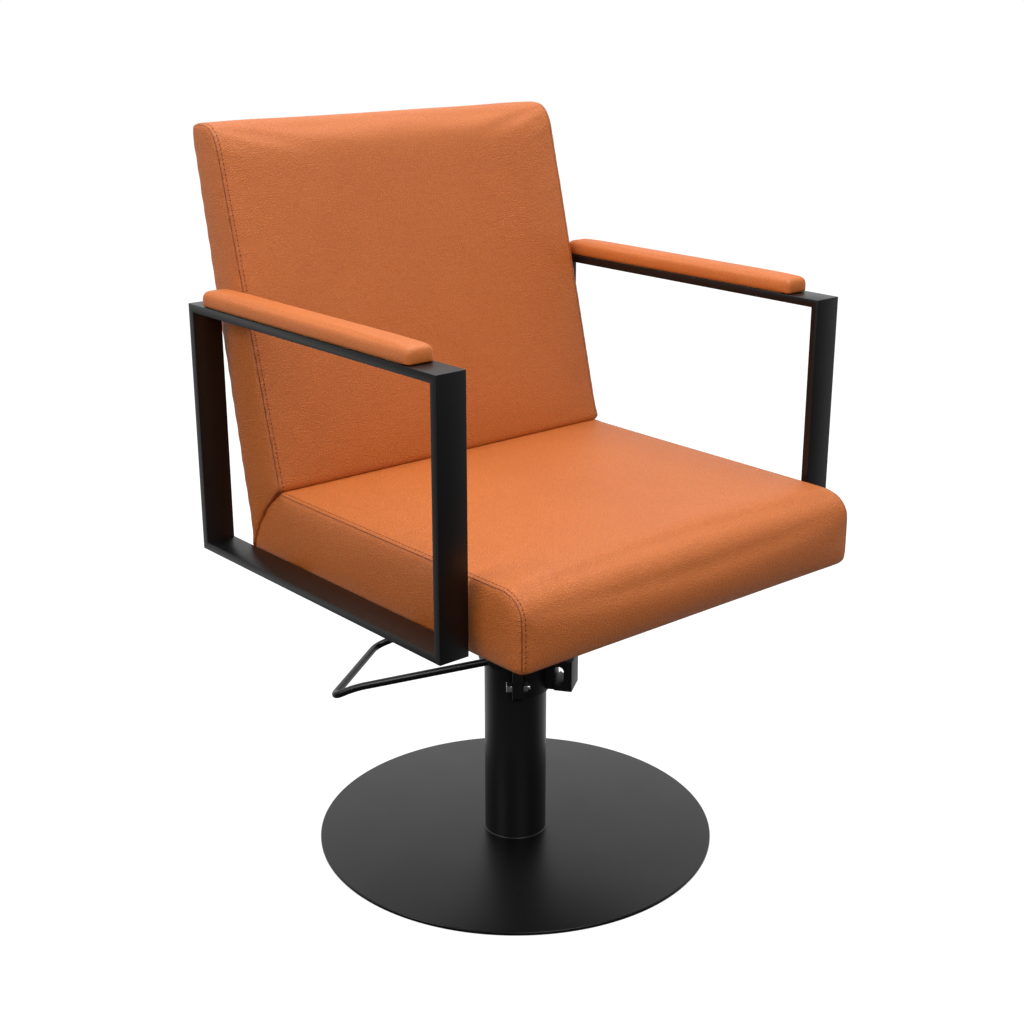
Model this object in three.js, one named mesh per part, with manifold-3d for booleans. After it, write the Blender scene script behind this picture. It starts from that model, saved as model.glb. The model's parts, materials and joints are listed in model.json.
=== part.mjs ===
// Hydraulic styling chair: disc base, pump column with foot pedal, swivelling upholstered seat with
// a reclined back and two closed flat-bar arm frames. Millimetres, +Z up, floor at z = 0, column on
// the Z axis, the sitter faces -Y.
import * as THREE from "three";
import { mergeVertices } from "three/addons/utils/BufferGeometryUtils.js";
import Module from "manifold-3d";

const wasm = await Module();
wasm.setup();

// ---------------------------------------------------------------- driving dimensions
const TOUCH = 0.3; // gap between pieces that rest on each other
const RUNNING = 0.3; // radial clearance of shafts and bolts in their holes
const POCKET = 0.4; // clearance round a piece buried in foam

const BASE_RADIUS = 270;
const BASE_THICKNESS = 5;
const BASE_BEVEL = 1.5;
const FLOOR_PAD_THICKNESS = 1.5;
const FLOOR_PAD_INSET = 6;

const COLUMN_RADIUS = 42;
const COLUMN_WALL = 4;
const COLUMN_LENGTH = 323;
const COLUMN_CAP_THICKNESS = 12;
const COLUMN_CAP_OVERHANG = 3;
const FOOT_PLUG_HEIGHT = 23;
const BASE_BOLT_INSET = 12.7; // bolt centre to the foot plug's rim
const BASE_BOLT_RADIUS = 5;

const CYLINDER_WALL = 4;
const CYLINDER_SPACE = 4; // between the cylinder and the column's inside
const WIPER_HEIGHT = 7.4;
const GUIDE_BUSH_LENGTH = 30;
const PISTON_STEP = 5; // cylinder bore to rod, on the radius
const ROD_REACH = 42; // rod that shows between the column cap and the seat hub
const LIFT_STROKE = 140;
const PISTON_HEIGHT = 32;
const PISTON_SEAL_HEIGHT = 8;

const SPIGOT_STEP = 7; // rod to spigot, on the radius
const SPIGOT_LENGTH = 26;
const SPIGOT_GROOVE_DEPTH = 3;
const SPIGOT_GROOVE_HEIGHT = 9;
const THRUST_WASHER_THICKNESS = 3;
const HUB_WALL = 18;
const HUB_LENGTH = 29.7;
const HUB_SCREW_RADIUS = 3.7;
const SEAT_PLATE_SIDE = 220;
const SEAT_PLATE_THICKNESS = 6;
const SEAT_PLATE_BOLT_SPREAD = 85;

const PUMP_HEADING = 35; // degrees from +X to the pedal's pivot axis
const PIVOT_DROP = 36; // pivot axis below the column's top
const HEAD_WALL = 8;
const HEAD_ABOVE_PIVOT = 12;
const HEAD_BELOW_PIVOT = 32;
const SKIRT_WALL = 5;
const SKIRT_LENGTH = 42;
const PIVOT_BOSS_RADIUS = 11;
const PIVOT_BOSS_LENGTH = 26; // from the head's collar to a pedal hub
const PEDAL_HUB_WIDTH = 20;
const PEDAL_HUB_RADIUS = 13;
const PIVOT_BOLT_RADIUS = 6;
const NOSE_LENGTH = 40; // beyond the column
const NOSE_WIDTH = 40;
const NOSE_RAISE = 6; // nose's underside above the skirt's
const NOSE_OVERLAP = 7; // nose's top above the skirt's
const NOSE_FLANGE = 24;
const NOSE_SLOT_RADIUS = 7;
const NOSE_SLOT_LENGTH = 12; // between the slot's two arc centres
const EAR_HEADING = 197.4; // degrees from the pivot axis to the clamp ear
const EAR_BOLT_RAISE = 21; // clamp bolt above the skirt's lower edge
const EAR_BOLT_RADIUS = 4;
const EAR_HEAD_RADIUS = 8;
const EAR_HALF_WIDTH = 7;
const EAR_RADIUS = 10;

const PEDAL_ROD_RADIUS = 5;
const PEDAL_REACH = 230; // from the column axis to the toe bar
const PEDAL_LEG_SLOPE = 17.6; // degrees down from horizontal
const PEDAL_KICK_START = 198;
const PEDAL_KICK_SLOPE = 28;
const PEDAL_CORNER = 16;
const PEDAL_PRESS = 22; // degrees the pedal turns down
const CAM_REACH = 20; // pivot axis to plunger axis
const CAM_WIDTH = 12;
const PLUNGER_RADIUS = 6;
const PLUNGER_INSET = 11; // plunger axis inside the pedal hub's inner face
const PLUNGER_LENGTH = 25;
const PLUNGER_TIP_GAP = 1;
const CAM_BLOCK_CLEARANCE = 1.5; // between the lowest cam finger and the block that guides the plunger
const SPRING_WIRE_RADIUS = 0.7;
const SPRING_TURNS = 3.5;

const SEAT_WIDTH = 552;
const SEAT_FRONT_Y = -332;
const SEAT_THICKNESS = 95;
const SEAT_FRONT_RADIUS = 34;
const SEAT_EDGE_RADIUS = 10;
const SEAT_RIM = 14; // upholstered rim round the board, under the seat
const BOARD_THICKNESS = 15;
const DUST_COVER_THICKNESS = 0.8;

const CREASE_Y = 134; // where the seat's top meets the back's front
const BACK_REAR_Y = 203; // rear corner of the back, at seat plate level
const BACK_HEIGHT = 436; // above the seat's top
const BACK_TOP_THICKNESS = 63;
const BACK_FRONT_RECLINE = 14.4; // degrees from vertical
const BACK_TOP_ROLL = 34;
const BACK_BOARD_THICKNESS = 12;
const BACK_BOARD_COVER = 14; // foam behind the back board
const BACK_BOARD_WIDTH = 480;
const BACK_BOARD_LIFT = 50; // back board's lower edge above the seat board
const BACK_SEAM_GAP = 1.2; // between the seat's rear face and the back's lower face
const BACK_SEAM_BOW = 17;

const BRACKET_THICKNESS = 6;
const BRACKET_WIDTH = 40;
const BRACKET_X = 130;
const BRACKET_LEG = 136;
const BRACKET_RISE = 199; // above the seat board

const ARM_GAP = 6.5; // between the seat's side and the arm frame
const BAR_WIDTH = 40;
const BAR_THICKNESS = 10;
const ARM_FRONT_Y = -250;
const ARM_LENGTH = 497;
const ARM_HEIGHT = 322;
const TAB_WIDTH = 40;
const TAB_THICKNESS = 6;
const TAB_REACH = 87; // inward from the bar
const TAB_Y = [-150, 110];
const TAB_BOLT_REACH = [36, 70]; // inward from the bar
const PAD_HEIGHT = 20;
const PAD_CROWN_RADIUS = 9;
const PAD_END_RADIUS = 12;
const PAD_FRONT_INSET = 51;
const PAD_REAR_INSET = 31;
const PAD_BOARD_THICKNESS = 4;
const PAD_BOARD_INSET = 3;
const PAD_SCREW_RADIUS = 2.5;
const PAD_SCREW_INSET = 70;

const BOLT_RADIUS = 4; // shank of the seat, arm and bracket bolts
const BOLT_HEAD_RADIUS = 7.5;
const BOLT_HEAD_HEIGHT = 5.3;
const BOLT_BITE = 11; // how far a bolt reaches into a board

// ---------------------------------------------------------------- levels worked out from them
const PLATE_BOTTOM = FLOOR_PAD_THICKNESS + TOUCH;
const PLATE_TOP = PLATE_BOTTOM + BASE_THICKNESS;
const COLUMN_BOTTOM = PLATE_TOP + TOUCH;
const COLUMN_TOP = COLUMN_BOTTOM + COLUMN_LENGTH;
const COLUMN_BORE = COLUMN_RADIUS - COLUMN_WALL;
const CYLINDER_BORE = COLUMN_BORE - CYLINDER_SPACE - CYLINDER_WALL;
const ROD_RADIUS = CYLINDER_BORE - PISTON_STEP;
const SPIGOT_RADIUS = ROD_RADIUS - SPIGOT_STEP;
const HUB_RADIUS = SPIGOT_RADIUS + HUB_WALL;
const FOOT_TOP = COLUMN_BOTTOM + FOOT_PLUG_HEIGHT;
const CAP_TOP = COLUMN_TOP + TOUCH + COLUMN_CAP_THICKNESS;
const CYLINDER_TOP = COLUMN_TOP - WIPER_HEIGHT - 2 * TOUCH;
const SHOULDER_Z = CAP_TOP + ROD_REACH;
const HUB_BOTTOM = SHOULDER_Z + THRUST_WASHER_THICKNESS + 2 * TOUCH;
const SEAT_PLATE_BOTTOM = HUB_BOTTOM + HUB_LENGTH + TOUCH;
const SEAT_LEVEL = SEAT_PLATE_BOTTOM + SEAT_PLATE_THICKNESS;
const SEAT_BOTTOM = SEAT_LEVEL + TOUCH;
const BOARD_BOTTOM = SEAT_BOTTOM + DUST_COVER_THICKNESS + TOUCH;
const BOARD_TOP = BOARD_BOTTOM + BOARD_THICKNESS;
const SEAT_TOP = SEAT_LEVEL + SEAT_THICKNESS;
const SEAT_HALF = SEAT_WIDTH / 2;
const BOARD_HALF = SEAT_HALF - SEAT_RIM;
const ARM_INNER_X = SEAT_HALF + ARM_GAP;
const ARM_MID_X = ARM_INNER_X + BAR_WIDTH / 2;
const TAB_INNER_X = ARM_INNER_X - TAB_REACH;
const TAB_BOLT_X = TAB_BOLT_REACH.map((reach) => ARM_INNER_X - reach);
const ARM_REAR_Y = ARM_FRONT_Y + ARM_LENGTH;
const ARM_TOP = SEAT_LEVEL + ARM_HEIGHT;
const PAD_FRONT_Y = ARM_FRONT_Y + PAD_FRONT_INSET;
const PAD_REAR_Y = ARM_REAR_Y - PAD_REAR_INSET;
const PISTON_TOP = CYLINDER_TOP - GUIDE_BUSH_LENGTH - LIFT_STROKE - TOUCH;
const PISTON_BOTTOM = PISTON_TOP - PISTON_HEIGHT;
const PIVOT_Z = COLUMN_TOP - PIVOT_DROP;
const HEAD_TOP = PIVOT_Z + HEAD_ABOVE_PIVOT;
const HEAD_BOTTOM = PIVOT_Z - HEAD_BELOW_PIVOT;
const SKIRT_BOTTOM = HEAD_BOTTOM - SKIRT_LENGTH;
const EAR_BOLT_Z = SKIRT_BOTTOM + EAR_BOLT_RAISE;
const HUB_INNER_S = COLUMN_RADIUS + HEAD_WALL + PIVOT_BOSS_LENGTH; // along the pivot axis
const PLUNGER_S = HUB_INNER_S - PLUNGER_INSET;
const BACK_TOP_Z = SEAT_TOP + BACK_HEIGHT;
const BRACKET_TOP_Z = BOARD_TOP + BRACKET_RISE;
const PLUNGER_TOP = PIVOT_Z - CAM_WIDTH / 2 - PLUNGER_TIP_GAP;
const SCREW_Z = SHOULDER_Z + SPIGOT_LENGTH / 2 + TOUCH;

const radians = THREE.MathUtils.degToRad;

// ---------------------------------------------------------------- finishes
const finish = (color, roughness, metalness) => new THREE.MeshStandardMaterial({ color, roughness, metalness });
const POWDER_BLACK = finish(0x1b1b1c, 0.55, 0.2);
const CAST_BLACK = finish(0x222222, 0.6, 0.3);
const LEATHER = finish(0xb4652d, 0.5, 0);
const BRIGHT_STEEL = finish(0xc9cbce, 0.22, 1);
const ZINC = finish(0x9a9c9f, 0.4, 0.9);
const RUBBER = finish(0x151515, 0.85, 0);
const PLYWOOD = finish(0xc8a673, 0.7, 0);
const BRONZE = finish(0xa9823c, 0.4, 0.9);
const BLACK_CLOTH = finish(0x18181a, 0.95, 0);

// ---------------------------------------------------------------- solids and booleans
/** A closed three.js geometry as a manifold solid. */
function solid(geometry) {
  const bare = geometry.clone();
  bare.deleteAttribute("normal");
  bare.deleteAttribute("uv");
  const merged = mergeVertices(bare, 1e-4);
  return new wasm.Manifold(
    new wasm.Mesh({
      numProp: 3,
      vertProperties: merged.attributes.position.array,
      triVerts: new Uint32Array(merged.index.array),
    }),
  );
}

/** A manifold solid as a three.js geometry. */
function surface(body) {
  const mesh = body.getMesh();
  const geometry = new THREE.BufferGeometry();
  geometry.setAttribute("position", new THREE.BufferAttribute(mesh.vertProperties, 3));
  geometry.setIndex(new THREE.BufferAttribute(mesh.triVerts, 1));
  geometry.computeVertexNormals();
  return geometry;
}

const join = (...pieces) => surface(pieces.map(solid).reduce((whole, piece) => whole.add(piece)));

const cut = (body, ...tools) => surface(tools.map(solid).reduce((left, tool) => left.subtract(tool), solid(body)));

const common = (a, b) => surface(solid(a).intersect(solid(b)));

/** A box between two corners. */
function box(low, high) {
  const size = high.map((value, i) => value - low[i]);
  const middle = high.map((value, i) => (value + low[i]) / 2);
  return new THREE.BoxGeometry(...size).translate(...middle);
}

/** An upright cylinder; six sides make a hexagon. */
function upright(radius, bottom, top, x = 0, y = 0, sides = 18) {
  return new THREE.CylinderGeometry(radius, radius, top - bottom, sides)
    .rotateX(Math.PI / 2)
    .translate(x, y, (bottom + top) / 2);
}

/** A cylinder along X between two places. */
function lying(radius, from, to, y, z, sides = 20) {
  return new THREE.CylinderGeometry(radius, radius, to - from, sides)
    .rotateZ(-Math.PI / 2)
    .translate((from + to) / 2, y, z);
}

/** A turned piece: the profile is [radius, z] pairs, up the outside. */
function turned(profile, sides = 48) {
  const points = profile.map(([radius, z]) => new THREE.Vector2(radius, z));
  return new THREE.LatheGeometry(points, sides).rotateX(Math.PI / 2);
}

/** A turned ring of rectangular section. */
function ring(inner, outer, bottom, top, sides = 48) {
  return turned([[inner, bottom], [outer, bottom], [outer, top], [inner, top], [inner, bottom]], sides);
}

/** An outline in the YZ plane, extruded along X from one place to another. */
function sideways(outline, from, to, curveSegments = 10) {
  const geometry = new THREE.ExtrudeGeometry(outline, { depth: to - from, bevelEnabled: false, curveSegments });
  const axes = new THREE.Matrix4().makeBasis(
    new THREE.Vector3(0, 1, 0),
    new THREE.Vector3(0, 0, 1),
    new THREE.Vector3(1, 0, 0),
  );
  return geometry.applyMatrix4(axes).translate(from, 0, 0);
}

/** A closed outline through [y, z] corners. */
const outlineOf = (corners) => new THREE.Shape(corners.map(([y, z]) => new THREE.Vector2(y, z)));

/** A hexagon bolt along +Z: head below z = 0, shank from 0 to its length. */
function boltShape(shankRadius, length, headRadius = BOLT_HEAD_RADIUS, headHeight = BOLT_HEAD_HEIGHT) {
  return join(
    upright(headRadius, -headHeight, 0, 0, 0, 6),
    upright(shankRadius, -headHeight / 2, length, 0, 0, 12),
  );
}

const chair = new THREE.Group();
const pump = new THREE.Group(); // turned to the pedal's heading: X along the pivot axis, +Y to the pedal
pump.rotation.z = radians(PUMP_HEADING);
chair.add(pump);

/** Adds a named piece to the chair, or to the pump's turned group. */
function piece(name, geometry, material, parent = chair) {
  const mesh = new THREE.Mesh(geometry, material);
  mesh.name = name;
  parent.add(mesh);
  return mesh;
}

// ---------------------------------------------------------------- base
function addBase() {
  const padRadius = BASE_RADIUS - FLOOR_PAD_INSET;
  piece("floor_pad", upright(padRadius, 0, FLOOR_PAD_THICKNESS, 0, 0, 72), RUBBER);

  const headRadius = BASE_BOLT_RADIUS + 4;
  const headHeight = BASE_THICKNESS / 2;
  const boltBottom = PLATE_BOTTOM + TOUCH / 2;
  const plugRadius = COLUMN_BORE - RUNNING;
  const circle = plugRadius - BASE_BOLT_INSET;
  const holes = [];
  const shankHoles = [];
  for (let i = 0; i < 4; i++) {
    const angle = radians(90 * i + 45);
    const x = circle * Math.cos(angle);
    const y = circle * Math.sin(angle);
    const length = FOOT_TOP - boltBottom - headHeight - 3;
    const bolt = boltShape(BASE_BOLT_RADIUS, length, headRadius, headHeight);
    piece(`base_bolt_${i + 1}`, bolt, ZINC).position.set(x, y, boltBottom + headHeight);
    holes.push(upright(headRadius + RUNNING, 0, boltBottom + headHeight + TOUCH, x, y));
    shankHoles.push(upright(BASE_BOLT_RADIUS + RUNNING, 0, FOOT_TOP + 1, x, y));
  }
  const disc = turned(
    [
      [0, PLATE_BOTTOM],
      [BASE_RADIUS, PLATE_BOTTOM],
      [BASE_RADIUS, PLATE_TOP - BASE_BEVEL],
      [BASE_RADIUS - BASE_BEVEL, PLATE_TOP],
      [0, PLATE_TOP],
    ],
    96,
  );
  piece("base_plate", cut(disc, ...holes, ...shankHoles), POWDER_BLACK);

  piece("column_foot", cut(upright(plugRadius, COLUMN_BOTTOM, FOOT_TOP, 0, 0, 36), ...shankHoles), ZINC);
}

// ---------------------------------------------------------------- column and hydraulics
function addColumn() {
  piece("column_tube", ring(COLUMN_BORE, COLUMN_RADIUS, COLUMN_BOTTOM, COLUMN_TOP, 72), POWDER_BLACK);
  const sleeve = ring(CYLINDER_BORE, CYLINDER_BORE + CYLINDER_WALL, FOOT_TOP + TOUCH, CYLINDER_TOP, 36);
  piece("pump_cylinder", sleeve, ZINC);

  const bushBottom = CYLINDER_TOP - GUIDE_BUSH_LENGTH;
  const bush = ring(ROD_RADIUS + RUNNING, CYLINDER_BORE - RUNNING, bushBottom, CYLINDER_TOP, 36);
  piece("guide_bush", bush, BRONZE);
  const wiper = ring(ROD_RADIUS + RUNNING, COLUMN_BORE - RUNNING, CYLINDER_TOP + TOUCH, COLUMN_TOP - TOUCH, 36);
  piece("wiper_seal", wiper, RUBBER);

  const rim = COLUMN_RADIUS + COLUMN_CAP_OVERHANG;
  const capBottom = COLUMN_TOP + TOUCH;
  const cap = turned([
    [ROD_RADIUS + RUNNING, capBottom],
    [rim, capBottom],
    [rim, CAP_TOP - 3],
    [rim - 3, CAP_TOP],
    [ROD_RADIUS + RUNNING, CAP_TOP],
    [ROD_RADIUS + RUNNING, capBottom],
  ]);
  piece("column_cap", cap, CAST_BLACK);
}

function addPiston() {
  const head = CYLINDER_BORE - RUNNING;
  const sealGroove = head - 3.5;
  const sealBottom = (PISTON_BOTTOM + PISTON_TOP - PISTON_SEAL_HEIGHT) / 2;
  const sealTop = sealBottom + PISTON_SEAL_HEIGHT;
  const spigotTop = SHOULDER_Z + SPIGOT_LENGTH;
  const grooveBottom = SCREW_Z - SPIGOT_GROOVE_HEIGHT / 2;
  const grooveTop = grooveBottom + SPIGOT_GROOVE_HEIGHT;
  const grooveRadius = SPIGOT_RADIUS - SPIGOT_GROOVE_DEPTH;
  const rod = turned(
    [
      [0, PISTON_BOTTOM],
      [head, PISTON_BOTTOM],
      [head, sealBottom],
      [sealGroove, sealBottom],
      [sealGroove, sealTop],
      [head, sealTop],
      [head, PISTON_TOP],
      [ROD_RADIUS, PISTON_TOP],
      [ROD_RADIUS, SHOULDER_Z],
      [SPIGOT_RADIUS, SHOULDER_Z],
      [SPIGOT_RADIUS, grooveBottom],
      [grooveRadius, grooveBottom],
      [grooveRadius, grooveTop],
      [SPIGOT_RADIUS, grooveTop],
      [SPIGOT_RADIUS, spigotTop],
      [0, spigotTop],
    ],
    36,
  );
  piece("piston_rod", rod, BRIGHT_STEEL);
  const seal = ring(sealGroove + TOUCH, head, sealBottom + TOUCH, sealTop - TOUCH, 36);
  piece("piston_seal", seal, RUBBER);
  const washerBottom = SHOULDER_Z + TOUCH;
  const washer = ring(SPIGOT_RADIUS + RUNNING, ROD_RADIUS, washerBottom, washerBottom + THRUST_WASHER_THICKNESS, 36);
  piece("thrust_washer", washer, BRONZE);
}

// ---------------------------------------------------------------- pump head, in the pump's turned frame
function addPumpHead() {
  const bore = COLUMN_RADIUS + TOUCH;
  const bossEnd = HUB_INNER_S - TOUCH;
  const inside = upright(bore, 0, HEAD_TOP + 50, 0, 0, 64);
  const collar = upright(COLUMN_RADIUS + HEAD_WALL, HEAD_BOTTOM, HEAD_TOP, 0, 0, 64);
  const skirtRadius = COLUMN_RADIUS + SKIRT_WALL;
  const skirt = cut(
    upright(skirtRadius, SKIRT_BOTTOM, HEAD_BOTTOM + 5, 0, 0, 64),
    box([-100, 0, 0], [100, 100, HEAD_BOTTOM - 1]),
  );
  const bosses = lying(PIVOT_BOSS_RADIUS, -bossEnd, bossEnd, 0, PIVOT_Z);

  const noseTip = -COLUMN_RADIUS - NOSE_LENGTH;
  const noseLow = SKIRT_BOTTOM + NOSE_RAISE;
  const noseHigh = HEAD_BOTTOM + NOSE_OVERLAP;
  const neckHalf = NOSE_WIDTH / 3;
  const neck = box([-neckHalf, noseTip + 5, noseLow - 2], [neckHalf, 0, noseHigh - 1]);
  const flange = box([-NOSE_WIDTH / 2, noseTip, noseLow], [NOSE_WIDTH / 2, noseTip + NOSE_FLANGE, noseHigh]);
  const slot = new THREE.Shape();
  const slotY = noseTip + NOSE_FLANGE - NOSE_SLOT_RADIUS + 1;
  const slotZ = (noseLow + noseHigh) / 2;
  slot.absarc(slotY, slotZ + NOSE_SLOT_LENGTH / 2, NOSE_SLOT_RADIUS, 0, Math.PI);
  slot.absarc(slotY, slotZ - NOSE_SLOT_LENGTH / 2, NOSE_SLOT_RADIUS, Math.PI, 2 * Math.PI);

  const camBlock = box(
    [0, CAM_REACH - PLUNGER_RADIUS - 5, HEAD_BOTTOM],
    [PLUNGER_S + PLUNGER_RADIUS + 4, CAM_REACH + PLUNGER_RADIUS + 5, lowestCam() - CAM_BLOCK_CLEARANCE],
  );
  const camDrop = box(
    [PLUNGER_S - PLUNGER_RADIUS - 4, CAM_REACH - PLUNGER_RADIUS - 5, SKIRT_BOTTOM + 22],
    [PLUNGER_S + PLUNGER_RADIUS + 4, CAM_REACH + PLUNGER_RADIUS + 5, HEAD_BOTTOM + 1],
  );
  const ear = earShape();
  const boltHoles = [-1, 1].map((side) => {
    const ends = [side * (COLUMN_RADIUS + HEAD_WALL + 4), side * (bossEnd + 5)].sort((a, b) => a - b);
    return lying(PIVOT_BOLT_RADIUS + RUNNING, ends[0], ends[1], 0, PIVOT_Z);
  });
  const plungerBore = upright(PLUNGER_RADIUS + RUNNING, springBottom() - TOUCH, HEAD_TOP, PLUNGER_S, CAM_REACH);
  const casting = join(collar, skirt, bosses, neck, flange, camBlock, camDrop, ear.body);
  const head = cut(casting, inside, sideways(slot, -NOSE_WIDTH, NOSE_WIDTH), plungerBore, ear.hole, ...boltHoles);
  piece("pump_head", head, CAST_BLACK, pump);
}

/** The clamp ear on the skirt, its bolt and nut: a rounded lug whose bolt runs round the column. */
function earShape() {
  const turn = radians(EAR_HEADING);
  const reach = COLUMN_RADIUS + SKIRT_WALL + EAR_HEAD_RADIUS + 1;
  const width = 2 * EAR_HALF_WIDTH;
  const roundZ = SKIRT_BOTTOM + EAR_RADIUS;
  const lug = join(
    box([COLUMN_RADIUS - 5, -EAR_HALF_WIDTH, roundZ], [reach + EAR_RADIUS - 3, EAR_HALF_WIDTH, HEAD_BOTTOM + 2]),
    new THREE.CylinderGeometry(EAR_RADIUS, EAR_RADIUS, width, 32).translate(reach - 3, 0, roundZ),
  );
  const along = new THREE.CylinderGeometry(EAR_BOLT_RADIUS + RUNNING, EAR_BOLT_RADIUS + RUNNING, 2 * width, 24);
  const hole = along.translate(reach, 0, EAR_BOLT_Z);
  return { body: lug.rotateZ(turn), hole: hole.rotateZ(turn), turn, reach };
}

function addClampBolt() {
  const ear = earShape();
  const place = (mesh) => {
    const holder = new THREE.Group();
    holder.rotation.z = ear.turn;
    holder.add(mesh);
    pump.add(holder);
  };
  const headFace = -EAR_HALF_WIDTH - TOUCH;
  const shank = 2 * EAR_HALF_WIDTH + 10;
  const bolt = piece("clamp_bolt", boltShape(EAR_BOLT_RADIUS, shank, EAR_HEAD_RADIUS, 8), BRIGHT_STEEL);
  bolt.rotation.x = -Math.PI / 2; // the bolt's own +Z points along the holder's +Y
  bolt.position.set(ear.reach, headFace, EAR_BOLT_Z);
  place(bolt);
  const nutBottom = EAR_HALF_WIDTH + TOUCH;
  const nutHole = upright(EAR_BOLT_RADIUS + RUNNING, -1, 8);
  const nut = piece("clamp_nut", cut(upright(7.5, 0, 6, 0, 0, 6), nutHole), ZINC);
  nut.rotation.x = -Math.PI / 2;
  nut.position.set(ear.reach, nutBottom, EAR_BOLT_Z);
  place(nut);
}

/** Height of the cam finger's lowest corner when the pedal is pressed right down. */
function lowestCam() {
  const press = radians(PEDAL_PRESS);
  const half = CAM_WIDTH / 2;
  return PIVOT_Z - (CAM_REACH + half) * Math.sin(press) - half * Math.cos(press);
}

/** Seat of the plunger's spring: the plunger's foot less the spring's length. */
function springBottom() {
  return PLUNGER_TOP - PLUNGER_LENGTH - 15;
}

function addPlunger() {
  const foot = PLUNGER_TOP - PLUNGER_LENGTH;
  const shape = turned(
    [[0, foot], [PLUNGER_RADIUS, foot], [PLUNGER_RADIUS, PLUNGER_TOP - 6], [3, PLUNGER_TOP], [0, PLUNGER_TOP]],
    24,
  );
  piece("plunger", shape, ZINC, pump).position.set(PLUNGER_S, CAM_REACH, 0);

  const low = springBottom() + SPRING_WIRE_RADIUS + TOUCH;
  const high = foot - SPRING_WIRE_RADIUS - TOUCH;
  const coilRadius = PLUNGER_RADIUS - SPRING_WIRE_RADIUS - 1;
  class Coil extends THREE.Curve {
    getPoint(t) {
      const angle = 2 * Math.PI * SPRING_TURNS * t;
      return new THREE.Vector3(coilRadius * Math.cos(angle), coilRadius * Math.sin(angle), low + (high - low) * t);
    }
  }
  const spring = rodAlong(new Coil(), SPRING_WIRE_RADIUS, 6, 42);
  piece("plunger_spring", spring, ZINC, pump).position.set(PLUNGER_S, CAM_REACH, 0);
}

// ---------------------------------------------------------------- pedal, in the pump's turned frame
/** A round rod swept along a curve, with an even number of sides. */
function rodAlong(curve, radius, sides, steps) {
  const section = new THREE.Shape();
  section.absarc(0, 0, radius, 0, 2 * Math.PI);
  return new THREE.ExtrudeGeometry(section, { extrudePath: curve, steps, curveSegments: sides / 2 });
}

/** A path through corner points, each inner corner rounded by the given length. */
function roundedPath(points, rounding) {
  const path = new THREE.CurvePath();
  let from = points[0];
  for (let i = 1; i < points.length - 1; i++) {
    const back = points[i - 1].clone().sub(points[i]).setLength(rounding);
    const ahead = points[i + 1].clone().sub(points[i]).setLength(rounding);
    const enter = points[i].clone().add(back);
    const leave = points[i].clone().add(ahead);
    path.add(new THREE.LineCurve3(from, enter));
    path.add(new THREE.QuadraticBezierCurve3(enter, points[i], leave));
    from = leave;
  }
  path.add(new THREE.LineCurve3(from, points[points.length - 1]));
  return path;
}

function addPedal() {
  const s = HUB_INNER_S + PEDAL_HUB_WIDTH - PEDAL_ROD_RADIUS - 2;
  const slope = radians(PEDAL_LEG_SLOPE);
  const start = PEDAL_HUB_RADIUS + TOUCH;
  const kickZ = PIVOT_Z - PEDAL_KICK_START * Math.tan(slope);
  const toeZ = kickZ - (PEDAL_REACH - PEDAL_KICK_START) * Math.tan(radians(PEDAL_KICK_SLOPE));
  const corners = [
    [-s, start * Math.cos(slope), PIVOT_Z - start * Math.sin(slope)],
    [-s, PEDAL_KICK_START, kickZ],
    [-s, PEDAL_REACH, toeZ],
  ];
  const mirrored = corners.map(([x, y, z]) => [-x, y, z]).reverse();
  const points = [...corners, ...mirrored].map((corner) => new THREE.Vector3(...corner));
  piece("pedal_rod", rodAlong(roundedPath(points, PEDAL_CORNER), PEDAL_ROD_RADIUS, 10, 76), POWDER_BLACK, pump);

  const outer = HUB_INNER_S + PEDAL_HUB_WIDTH;
  const hole = lying(PIVOT_BOLT_RADIUS + RUNNING, -outer - 1, outer + 1, 0, PIVOT_Z);
  const nearHub = lying(PEDAL_HUB_RADIUS, -outer, -HUB_INNER_S, 0, PIVOT_Z, 32);
  piece("pedal_hub_right", cut(nearHub, hole), CAST_BLACK, pump);

  const cam = [PIVOT_Z - CAM_WIDTH / 2, PIVOT_Z + CAM_WIDTH / 2];
  const camFace = s - PEDAL_ROD_RADIUS - TOUCH;
  const farHub = lying(PEDAL_HUB_RADIUS, HUB_INNER_S, outer, 0, PIVOT_Z, 32);
  const web = box([HUB_INNER_S, PIVOT_BOLT_RADIUS + 2, cam[0]], [camFace, CAM_REACH + CAM_WIDTH / 2, cam[1]]);
  const finger = box(
    [PLUNGER_S - PLUNGER_RADIUS - 2, CAM_REACH - CAM_WIDTH / 2, cam[0]],
    [camFace, CAM_REACH + CAM_WIDTH / 2, cam[1]],
  );
  piece("pedal_hub_left", cut(join(farHub, web, finger), hole), CAST_BLACK, pump);

  for (const [name, side] of [["right", -1], ["left", 1]]) {
    const bolt = piece(`pivot_bolt_${name}`, boltShape(PIVOT_BOLT_RADIUS, 36, 9, 7), BRIGHT_STEEL, pump);
    bolt.rotation.y = (-side * Math.PI) / 2; // shank points at the column
    bolt.position.set(side * (outer + TOUCH), 0, PIVOT_Z);
  }
}

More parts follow.
